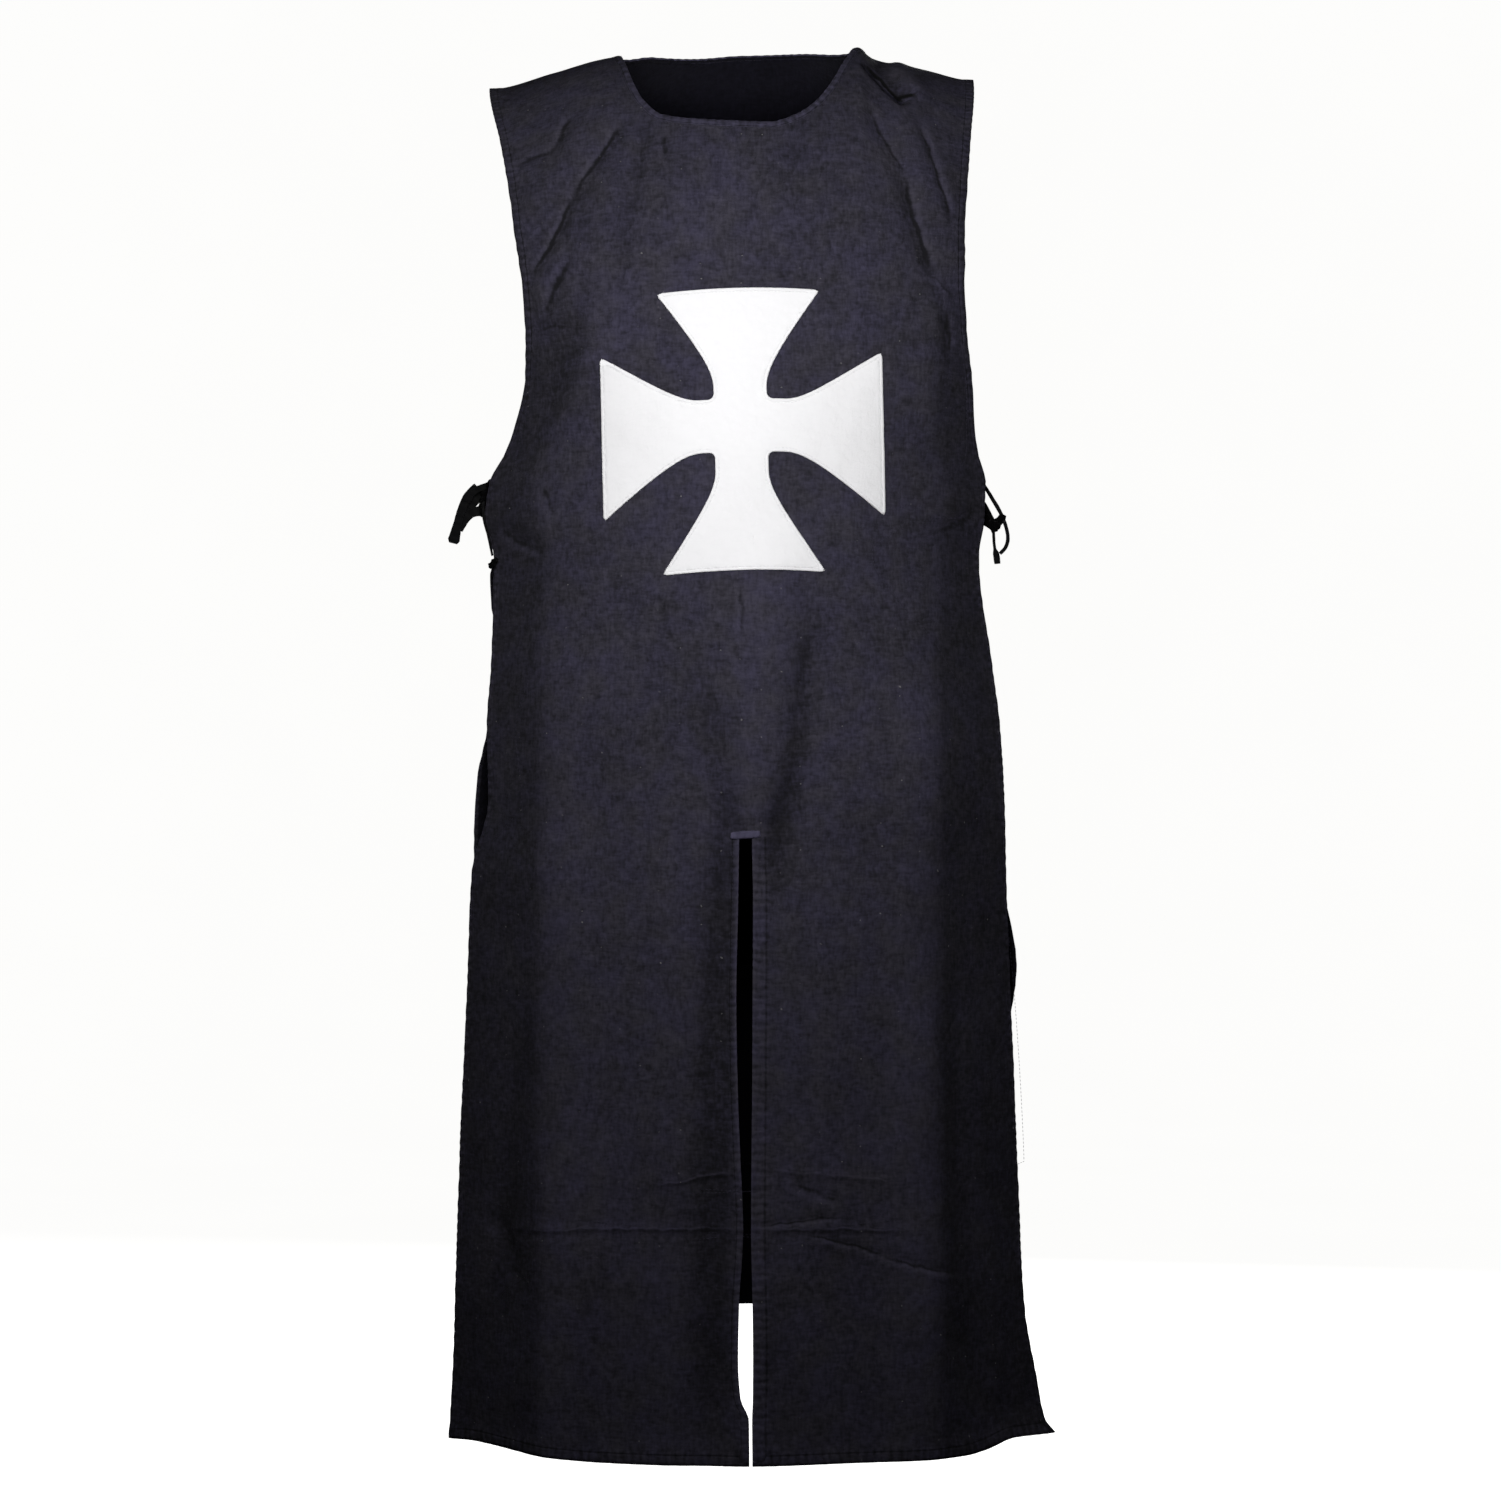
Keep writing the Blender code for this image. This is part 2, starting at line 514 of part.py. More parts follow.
def build_panel(name, panel, mesh, slit, collection):
    tops = top_places(panel, mesh)
    half_columns = len(tops) // 2
    rows = mesh.above + mesh.below
    slit_way = panel.way(-slit[0].z)
    bm = bmesh.new()
    bmesh.ops.create_grid(bm, x_segments=len(tops) - 1, y_segments=rows, size=1.0)
    for face in list(bm.faces):
        middle = face.calc_center_median()
        column = int((middle.x + 1.0) / 2.0 * (len(tops) - 1))
        row = int((1.0 - middle.y) / 2.0 * rows)
        if column == half_columns - 1 and row >= mesh.above:
            bm.faces.remove(face)
    strip_t = {side: tops[i][0] for side, i in (("left", half_columns - 1), ("right", half_columns))}
    for vert in bm.verts:
        i = round((vert.co.x + 1.0) / 2.0 * (len(tops) - 1))
        j = round((1.0 - vert.co.y) / 2.0 * rows)
        side, outer = ("left", -1.0) if i < half_columns else ("right", 1.0)
        k = i if outer < 0.0 else len(tops) - 1 - i
        even = k / (half_columns - 1)
        t_top, way_top = tops[i]
        if j == 0:
            way = way_top
        elif j < mesh.above:
            way = way_top + SEAM_ROW
            way += (slit_way - way) * (j - 1) / (mesh.above - 1)
        else:
            hem_way = panel.hem_way(outer * (1.0 - even))
            way = slit_way + (hem_way - slit_way) * (j - mesh.above) / mesh.below
        z = -panel.drop(way)
        apart = smooth((way - way_top) / COLUMN_SPREAD)
        share = (t_top - outer) / (strip_t[side] - outer)
        share += (even - share) * apart
        inner = strip_t[side] + (panel.across_at(slit_edge(slit, z, side), z) - strip_t[side]) * apart
        vert.co = panel.point(outer + (inner - outer) * share, way)
    loose = [edge for edge in bm.edges if not edge.link_faces]
    bmesh.ops.delete(bm, geom=loose, context="EDGES")
    point_outwards(bm, panel)
    made = add_mesh(name, bm, BLACK, 0.9, collection)
    thicken(made, WALL)
    return made


def slit_edge(slit, z, side):
    """x of a slit's edge at z, or of the centre strip's edge well above the slit."""
    strip = -BRIDGE_HALF if side == "left" else BRIDGE_HALF
    near = smooth((z - slit[0].z) / SLIT_BEND)
    return read(slit, "z", z, side) * (1.0 - near) + strip * near


def point_outwards(bm, panel):
    """Turns every face so that it points away from the wearer."""
    bmesh.ops.recalc_face_normals(bm, faces=bm.faces)
    bm.normal_update()
    if sum(face.normal.y * face.calc_area() for face in bm.faces) * panel.side < 0.0:
        bmesh.ops.reverse_faces(bm, faces=bm.faces)


def arm_half_width(reach, end):
    """Half the width of a cross's arm at a distance from the cross's middle: a bend that runs out."""
    out = CROSS_FLARE_SLOPE * max(reach - (end - CROSS_FLARE_LENGTH), 0.0)
    return min(CROSS_WAIST_HALF + sqrt(CROSS_BEND ** 2 + out ** 2) - CROSS_BEND, CROSS_END_HALF)


def build_cross(collection):
    """A cross with flared arms: a square middle and four arms that flare to their ends."""
    bm = bmesh.new()
    bmesh.ops.create_grid(bm, x_segments=CROSS_COLUMNS, y_segments=CROSS_COLUMNS, size=CROSS_WAIST_HALF)
    for quarter, end in enumerate(CROSS_REACHES):
        arm = bmesh.ops.create_grid(bm, x_segments=CROSS_COLUMNS, y_segments=CROSS_ROWS, size=1.0)
        turn = Matrix.Rotation(0.5 * pi * quarter, 3, "Z")
        for vert in arm["verts"]:
            reach = CROSS_WAIST_HALF + (end - CROSS_WAIST_HALF) * (vert.co.y + 1.0) / 2.0
            vert.co = turn @ Vector((vert.co.x * arm_half_width(reach, end), reach, 0.0))
    bmesh.ops.remove_doubles(bm, verts=bm.verts, dist=0.00005)
    tilt = Matrix.Rotation(CROSS_TILT, 3, "Z")
    for vert in bm.verts:
        flat = tilt @ vert.co
        sag = CROSS_SAG * (vert.co.x / max(CROSS_REACHES)) ** 2
        vert.co = FRONT.point_at(CROSS_X + flat.x, CROSS_Z + flat.y - sag, CROSS_LIFT)
    point_outwards(bm, FRONT)
    made = add_mesh("cross_applique", bm, WHITE, 0.85, collection)
    thicken(made, -CROSS_THICK)
    return made


def build_binding(name, panel, mesh, collection):
    """A narrow band round the neck edge, a little thicker than the cloth it is sewn to."""
    edge = panel.neck_places(mesh.neck)
    rows = (edge, panel.inset(edge, binding_width))
    bm = bmesh.new()
    bmesh.ops.create_grid(bm, x_segments=len(edge) - 1, y_segments=1, size=1.0)
    for vert in bm.verts:
        i = round((vert.co.x + 1.0) / 2.0 * (len(edge) - 1))
        vert.co = panel.point(*rows[0 if vert.co.y > 0.0 else 1][i], BINDING_PROUD)
    point_outwards(bm, panel)
    made = add_mesh(name, bm, BLACK, 0.85, collection)
    thicken(made, BINDING_THICK)
    return made


def smooth_route(places, step):
    """Points at even steps on a smooth curve through the places."""
    places = [Vector(place) for place in places]
    ends = [places[0] * 2 - places[1]] + places + [places[-1] * 2 - places[-2]]
    fine = []
    for a, b, c, d in zip(ends, ends[1:], ends[2:], ends[3:]):
        for k in range(ROUTE_FINE_STEPS):
            q = k / ROUTE_FINE_STEPS
            fine.append(0.5 * (2 * b + (c - a) * q + (2 * a - 5 * b + 4 * c - d) * q * q
                               + (3 * b - a - 3 * c + d) * q ** 3))
    fine.append(places[-1])
    lengths = [0.0]
    for a, b in zip(fine, fine[1:]):
        lengths.append(lengths[-1] + (b - a).length)
    count = max(2, ceil(lengths[-1] / step))
    points, k = [], 0
    for n in range(count + 1):
        want = lengths[-1] * n / count
        while k < len(fine) - 2 and lengths[k + 1] < want:
            k += 1
        q = (want - lengths[k]) / (lengths[k + 1] - lengths[k])
        points.append(fine[k].lerp(fine[k + 1], q))
    return points


def build_tie(name, places, radius, collection, swell=1.0):
    """A tube along its route, swollen in the middle where it is knotted."""
    points = smooth_route(places, TIE_STEP * radius)
    curve = bpy.data.curves.new(name, "CURVE")
    curve.dimensions = "3D"
    curve.bevel_depth = radius
    curve.bevel_resolution = 2
    curve.use_fill_caps = True
    spline = curve.splines.new("POLY")
    spline.points.add(len(points) - 1)
    for k, (point, place) in enumerate(zip(spline.points, points)):
        point.co = (*place, 1.0)
        from_middle = abs(k / (len(points) - 1) - 0.5)
        point.radius = 1.0 + (swell - 1.0) * smooth(1.0 - (from_middle - 0.5 * KNOT_SHARE) / KNOT_TAPER)
    made = bpy.data.objects.new(name, curve)
    made.data.materials.append(material(name, BLACK, 0.9))
    collection.objects.link(made)
    return made


def build_end_knot(collection):
    """The overhand knot on the left tie's hanging end."""
    bm = bmesh.new()
    bmesh.ops.create_uvsphere(bm, u_segments=12, v_segments=8, radius=1.0)
    for vert in bm.verts:
        vert.co = Vector(LEFT_END_KNOT) + vert.co * Vector(END_KNOT_HALF)
    return add_mesh("tie_left_end_knot", bm, BLACK, 0.9, collection)


def main():
    for old in list(bpy.data.objects):
        bpy.data.objects.remove(old, do_unlink=True)
    collection = bpy.data.collections.new(NAME)
    bpy.context.scene.collection.children.link(collection)
    build_panel("front_panel", FRONT, FRONT_MESH, FRONT_SLIT, collection)
    build_panel("back_panel", BACK, BACK_MESH, BACK_VENT, collection)
    build_binding("neck_binding_front", FRONT, FRONT_MESH, collection)
    build_binding("neck_binding_back", BACK, BACK_MESH, collection)
    build_cross(collection)
    build_tie("tie_left_knot", LEFT_KNOT_ROUTE, TIE_RADIUS, collection, KNOT_SWELL)
    build_tie("tie_left_loop", LEFT_LOOP_ROUTE, BOW_RADIUS, collection)
    build_tie("tie_left_end", LEFT_END_ROUTE, TIE_RADIUS, collection)
    build_end_knot(collection)
    build_tie("tie_right_knot", RIGHT_KNOT_ROUTE, TIE_RADIUS, collection, KNOT_SWELL)
    build_tie("tie_right_loop", RIGHT_LOOP_ROUTE, TIE_RADIUS, collection)
    build_tie("tie_right_end", RIGHT_END_ROUTE, TIE_RADIUS, collection)


main()
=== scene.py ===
"""Medieval surcoat: cloth, seams, cross and ties in full detail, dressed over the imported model.

Metres, +Z up. The front faces -Y. Every panel follows the same cut as its solid, on a fine mesh
that also carries the small creases, the turned hems and the weave.
"""

from collections import namedtuple
from itertools import accumulate
from math import ceil, cos, pi, radians, sin, sqrt

import bmesh
import bpy
import numpy as np
from bpy.props import FloatProperty, FloatVectorProperty, IntProperty, PointerProperty
from mathutils import Matrix, Vector, noise


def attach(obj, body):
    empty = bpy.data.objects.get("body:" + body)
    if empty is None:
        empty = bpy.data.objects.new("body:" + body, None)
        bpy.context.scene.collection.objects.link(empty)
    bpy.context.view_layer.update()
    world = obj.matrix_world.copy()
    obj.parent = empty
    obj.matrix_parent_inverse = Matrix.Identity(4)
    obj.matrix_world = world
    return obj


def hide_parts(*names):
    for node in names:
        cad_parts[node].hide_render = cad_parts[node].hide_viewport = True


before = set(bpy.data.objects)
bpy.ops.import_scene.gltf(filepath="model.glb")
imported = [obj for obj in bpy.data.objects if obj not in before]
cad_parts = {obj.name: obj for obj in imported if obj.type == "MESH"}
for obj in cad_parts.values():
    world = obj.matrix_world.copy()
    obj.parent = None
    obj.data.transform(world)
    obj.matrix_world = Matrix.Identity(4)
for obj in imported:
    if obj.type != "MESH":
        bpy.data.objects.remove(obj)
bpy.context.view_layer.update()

bl_info = {
    "name": "Medieval Surcoat",
    "version": (1, 0, 0),
    "blender": (4, 5, 0),
    "location": "View3D > Sidebar > Surcoat",
    "description": "Dresses the packed surcoat in woven cloth with its seams, cross and ties",
    "category": "Object",
}

BODY = "root"

# How the cloth rounds over the shoulders: each panel's arc, and where the shoulders' slope has gone
FRONT_REACH, BACK_REACH = 0.16, 0.12
RIDGE_FADE = 0.20
SHOULDER_HALF = 0.213
SHOULDER_EDGE_GAP = 0.0004

# The folds begin a little way down from the shoulder seams, and fade out past their ends
FOLD_START, FOLD_TAIL, CREASE_TAIL = 0.03, 0.2, 0.12

# Beside a crease the cloth goes the other way: how far off and how wide, in widths of the crease
BANK_PLACE, BANK_WIDTH = 1.8, 1.3

# The cloth's own unevenness: how close it lies across and down, for each metre, and its height
RUMPLES = ((8.0, 5.5, 0.0016), (24.0, 15.0, 0.0007), (75.0, 55.0, 0.00022))
RUMPLE_SEED = 3.0
FRONT_SEED = -RUMPLE_SEED

# How far down the columns, close together round the neck, have spread out evenly, and how much
# closer together columns and rows lie at their ends
COLUMN_SPREAD, COLUMN_CROWDING, ROW_CROWDING = 0.26, 0.40, 0.35

# Each panel folds back along an upright line near its sides: how steeply the cloth goes back past it,
# the most of the depth that it takes up, and how soft the fold is
SIDE_FOLD_SLOPE, SIDE_FOLD_MOST, SIDE_FOLD_SOFT = 1.10, 0.80, 0.004

# Neck points of the shoulder seams
NECK_LEFT, NECK_RIGHT = -0.108, 0.101

# Half of the centre strip that a slit is cut out of, and how far above the slit it bends to it
STRIP_HALF, SLIT_BEND = 0.0062, 0.10

# Which way each side lies
SIDES = {"left": -1.0, "right": 1.0}

# How finely places are worked out
SLOPE_STEP_ACROSS, SLOPE_STEP_DOWN = 0.004, 0.002
HEIGHT_ROUNDS, EDGE_FINE_STEPS, ROUTE_FINE_STEPS, PACKING_FINE_STEPS = 12, 480, 16, 600
SEAM_STEPS, SIDE_SEAM_STEPS = 160, 260

# The grid on which the weave is measured: its columns and rows, and how far down it reaches
WEAVE_COLUMNS, WEAVE_ROWS, WEAVE_REACH = 160, 135, 1.35

# Cross: its middle, each arm's reach (up, to -X, down, to +X), how long and how steep an arm's flare
# is, how softly it begins, the cross's lean, and how far the ends of its side arms have sunk
CROSS_X, CROSS_Z = -0.0006, -0.3340
CROSS_REACHES = (0.1175, 0.1195, 0.1240, 0.1230)
CROSS_FLARE_LENGTH, CROSS_FLARE_SLOPE, CROSS_BEND = 0.0853, 0.735, 0.0171
CROSS_TILT, CROSS_SAG = radians(1.4), 0.0095


def rows(kind, *values):
    """A table's rows."""
    return tuple(kind(*row) for row in values)


# The cut of the two panels. One row is a level, as deep and wide as the cloth stands there.
Section = namedtuple("Section", "z left right mid edge turn square")
FRONT_SECTIONS = rows(
    Section,
    (0.0, 0.224, 0.204, 0.102, 0.056, 52, 0.95),
    (-0.027, 0.2226, 0.2036, 0.103, 0.058, 53, 0.94),
    (-0.081, 0.2105, 0.1987, 0.106, 0.064, 56, 0.9),
    (-0.125, 0.2015, 0.1945, 0.109, 0.067, 59, 0.86),
    (-0.17, 0.1946, 0.1914, 0.111, 0.068, 62, 0.82),
    (-0.25, 0.1876, 0.1945, 0.114, 0.058, 70, 0.74),
    (-0.29, 0.189, 0.2002, 0.115, 0.046, 76, 0.7),
    (-0.33, 0.1998, 0.2035, 0.115, 0.03, 82, 0.66),
    (-0.352, 0.2085, 0.207, 0.115, 0.02, 85, 0.64),
    (-0.375, 0.2215, 0.2135, 0.114, 0.0125, 88, 0.62),
    (-0.412, 0.2258, 0.2125, 0.113, 0.012, 90, 0.6),
    (-0.442, 0.2175, 0.2085, 0.113, 0.013, 90, 0.6),
    (-0.535, 0.2205, 0.2199, 0.115, 0.019, 90, 0.6),
    (-0.59, 0.2237, 0.2264, 0.117, 0.023, 90, 0.6),
    (-0.655, 0.2215, 0.229, 0.12, 0.027, 90, 0.6),
    (-0.72, 0.2369, 0.2312, 0.123, 0.021, 90, 0.6),
    (-0.8, 0.241, 0.235, 0.127, 0.016, 90, 0.6),
    (-0.97, 0.2475, 0.2416, 0.132, 0.021, 90, 0.62),
    (-1.09, 0.2507, 0.2463, 0.136, 0.028, 88, 0.64),
    (-1.16, 0.2529, 0.2573, 0.138, 0.031, 85, 0.66),
    (-1.195, 0.2548, 0.264, 0.139, 0.0325, 83, 0.68),
    (-1.212, 0.2563, 0.2765, 0.14, 0.034, 80, 0.7),
    (-1.23, 0.2572, 0.286, 0.14, 0.034, 80, 0.7),
)
BACK_SECTIONS = rows(
    Section,
    (0.0, 0.224, 0.204, 0.1, 0.05, 52, 0.95),
    (-0.027, 0.2226, 0.2036, 0.102, 0.052, 53, 0.94),
    (-0.081, 0.212, 0.2, 0.108, 0.058, 56, 0.9),
    (-0.17, 0.197, 0.195, 0.11, 0.06, 62, 0.82),
    (-0.25, 0.189, 0.195, 0.106, 0.052, 70, 0.76),
    (-0.33, 0.199, 0.203, 0.1, 0.03, 82, 0.68),
    (-0.375, 0.218, 0.2115, 0.096, 0.0125, 88, 0.64),
    (-0.412, 0.221, 0.21, 0.094, 0.012, 90, 0.62),
    (-0.442, 0.2195, 0.209, 0.093, 0.013, 90, 0.62),
    (-0.455, 0.223, 0.21, 0.093, 0.0136, 90, 0.62),
    (-0.48, 0.2224, 0.2118, 0.093, 0.0146, 90, 0.62),
    (-0.498, 0.22, 0.2132, 0.093, 0.0154, 90, 0.62),
    (-0.59, 0.2255, 0.224, 0.096, 0.019, 90, 0.62),
    (-0.636, 0.2345, 0.2262, 0.099, 0.0155, 90, 0.62),
    (-0.675, 0.2372, 0.228, 0.101, 0.016, 90, 0.62),
    (-0.72, 0.2378, 0.23, 0.104, 0.017, 90, 0.62),
    (-0.805, 0.24, 0.244, 0.109, 0.022, 90, 0.62),
    (-0.87, 0.2425, 0.237, 0.113, 0.026, 90, 0.62),
    (-0.97, 0.246, 0.24, 0.118, 0.024, 90, 0.64),
    (-1.1, 0.25, 0.25, 0.124, 0.018, 88, 0.66),
    (-1.23, 0.255, 0.26, 0.13, 0.024, 84, 0.68),
)

# The line over the shoulders, the neck edges and the hems.
Level = namedtuple("Level", "x z")
LEFT_SHOULDER = ((-0.223, -0.0285), (-0.165, -0.014), (NECK_LEFT, 0.0))
RIGHT_SHOULDER = ((NECK_RIGHT, 0.007), (0.116, -0.0018), (0.16, -0.0115), (0.204, -0.0212))
NAPE = ((-0.05, 0.029), (0.0, 0.04), (0.05, 0.035))
FRONT_RIDGE = rows(Level, *LEFT_SHOULDER, (0.0, 0.006), *RIGHT_SHOULDER)
BACK_RIDGE = rows(Level, *LEFT_SHOULDER, *NAPE, *RIGHT_SHOULDER)
FRONT_NECK = rows(
    Level, (NECK_LEFT, 0.0), (-0.1024, -0.0105), (-0.0938, -0.033), (-0.0848, -0.0495), (-0.069, -0.0632),
    (-0.049, -0.0669), (0.0, -0.0702), (0.0252, -0.0709), (0.0476, -0.0633), (0.0651, -0.0498),
    (0.0784, -0.0314), (0.089, -0.011), (NECK_RIGHT, 0.007),
)
BACK_NECK = rows(
    Level, (NECK_LEFT, 0.0), (-0.08, 0.0061), (-0.038, 0.0087), (0.0, 0.012), (0.052, 0.0123),
    (NECK_RIGHT, 0.007),
)

# The hem's height across a panel.
FRONT_HEM = rows(
    Level, (-0.258, -1.213), (-0.233, -1.2112), (-0.18, -1.2146), (-0.124, -1.2175), (0.0, -1.219),
    (0.087, -1.2173), (0.188, -1.217), (0.208, -1.2147), (0.244, -1.2076), (0.278, -1.2083),
)
BACK_HEM = rows(
    Level, (-0.256, -1.214), (-0.13, -1.2185), (0.03, -1.219), (0.15, -1.2165), (0.26, -1.211),
)

# The two edges of a slit, from its top down.
SlitLevel = namedtuple("SlitLevel", "z left right")
FRONT_SLIT = rows(
    SlitLevel, (-0.685, -0.0024, 0.0087), (-0.739, -0.0032, 0.0096), (-0.824, -0.0049, 0.0092),
    (-0.91, -0.0032, 0.0088), (-0.952, -0.0015, 0.0083), (-1.02, 0.0012, 0.0079),
    (-1.085, -0.0024, 0.0092), (-1.13, -0.0032, 0.0096), (-1.162, -0.001, 0.0094),
    (-1.18, 0.0062, 0.0088), (-1.23, 0.0066, 0.0092),
)
BACK_VENT = rows(
    SlitLevel, (-1.118, -0.01, 0.015), (-1.16, -0.011, 0.0165), (-1.23, -0.014, 0.02),
)

# How far out the two side folds lie at a height, and how much of them there is.
SideFold = namedtuple("SideFold", "z left right share")
SIDE_FOLDS = rows(
    SideFold, (-0.205, 0.122, 0.16, 0.0), (-0.255, 0.13, 0.166, 0.85), (-0.294, 0.146, 0.165, 1.0),
    (-0.337, 0.161, 0.166, 1.0), (-0.381, 0.178, 0.172, 1.0), (-0.45, 0.166, 0.17, 1.0),
    (-0.52, 0.171, 0.167, 1.0), (-1.23, 0.171, 0.167, 1.0),
)

# A fold runs from (x0, z0) to (x1, z1), bowed sideways by bow. A ridge has height over 0.
Fold = namedtuple("Fold", "name x0 z0 x1 z1 bow width height")
FRONT_FOLDS = rows(
    Fold,
    ("left shoulder trough", -0.102, -0.072, -0.182, -0.196, 0.002, 0.012, -0.0026),
    ("left shoulder ridge", -0.122, -0.066, -0.19, -0.165, 0.0, 0.014, 0.0026),
    ("right shoulder trough", 0.114, -0.06, 0.166, -0.21, -0.004, 0.012, -0.0024),
    ("right shoulder ridge", 0.135, -0.06, 0.188, -0.19, 0.0, 0.014, 0.0024),
    ("right neck pinch", 0.118, -0.006, 0.142, -0.044, 0.0, 0.009, -0.006),
    ("right neck stand", 0.13, -0.008, 0.158, -0.044, 0.0, 0.011, 0.0045),
    ("left armhole", -0.128, -0.24, -0.16, -0.325, 0.0, 0.014, 0.002),
    ("centre ridge", 0.02, -0.46, 0.004, -0.675, 0.0, 0.026, 0.0065),
    ("right of the centre", 0.062, -0.5, 0.03, -0.72, 0.0, 0.014, -0.0065),
    ("left of the centre", -0.03, -0.56, -0.01, -0.69, 0.0, 0.014, -0.0045),
    ("left skirt", -0.15, -0.56, -0.16, -1.19, -0.006, 0.022, 0.003),
    ("left of the slit", -0.016, -0.7, -0.036, -1.2, 0.0, 0.018, -0.006),
    ("right skirt", 0.148, -0.52, 0.156, -1.18, 0.005, 0.022, 0.003),
    ("right skirt hollow", 0.1, -0.86, 0.106, -1.215, 0.0, 0.024, -0.0016),
)
BACK_FOLDS = rows(
    Fold,
    ("left shoulder trough", -0.1, -0.06, -0.176, -0.205, 0.0, 0.014, -0.005),
    ("right shoulder trough", 0.104, -0.055, 0.172, -0.19, 0.0, 0.014, -0.0055),
    ("left waist", -0.19, -0.385, -0.095, -0.52, 0.006, 0.016, -0.0045),
    ("right waist", 0.185, -0.39, 0.1, -0.5, -0.006, 0.016, -0.0045),
    ("centre ridge", -0.012, -0.43, 0.004, -1.08, 0.006, 0.03, 0.007),
    ("left skirt hollow", -0.078, -0.56, -0.092, -1.2, 0.004, 0.024, -0.007),
    ("left skirt", -0.14, -0.6, -0.158, -1.205, 0.0, 0.024, 0.0065),
    ("right skirt hollow", 0.07, -0.62, 0.088, -1.195, -0.004, 0.024, -0.007),
    ("right skirt", 0.134, -0.56, 0.156, -1.19, 0.0, 0.026, 0.0065),
)

# Routes of the ties, each a list of places in order from the cloth.
LEFT_KNOT_ROUTE = (
    (-0.2201, -0.0122, -0.3746), (-0.2222, -0.008, -0.375), (-0.2272, 0.0, -0.385),
    (-0.2192, 0.008, -0.375), (-0.2184, 0.0106, -0.374),
)
LEFT_LOOP_ROUTE = (
    (-0.2336, -0.0024, -0.379), (-0.2376, -0.0036, -0.383), (-0.2424, -0.0046, -0.3888),
    (-0.2459, -0.0054, -0.3968), (-0.2486, -0.006, -0.405), (-0.2508, -0.0062, -0.4135),
    (-0.253, -0.0058, -0.4223), (-0.2548, -0.005, -0.4293),
)
LEFT_END_ROUTE = (
    (-0.2284, -0.0008, -0.39), (-0.228, -0.007, -0.398), (-0.2266, -0.015, -0.4095),
    (-0.2228, -0.0192, -0.423), (-0.219, -0.0212, -0.441),
)
LEFT_END_KNOT = (-0.2181, -0.0222, -0.4475)
RIGHT_KNOT_ROUTE = (
    (0.213, -0.0104, -0.394), (0.2138, -0.0078, -0.395), (0.2222, 0.0, -0.4105), (0.2116, 0.0078, -0.395),
    (0.2108, 0.0102, -0.394),
)
RIGHT_LOOP_ROUTE = (
    (0.2122, 0.0104, -0.3748), (0.2134, 0.0084, -0.3762), (0.2202, 0.005, -0.3874),
    (0.2267, 0.0012, -0.3988), (0.2316, -0.002, -0.4102), (0.2345, -0.004, -0.4231),
    (0.2328, -0.0036, -0.4323), (0.2277, -0.002, -0.4383),
)
RIGHT_END_ROUTE = (
    (0.2222, 0.0005, -0.4152), (0.2223, 0.0015, -0.4209), (0.2227, 0.0025, -0.428),
    (0.2234, 0.0032, -0.4337), (0.2249, 0.0038, -0.4395), (0.2258, 0.0042, -0.447),
)

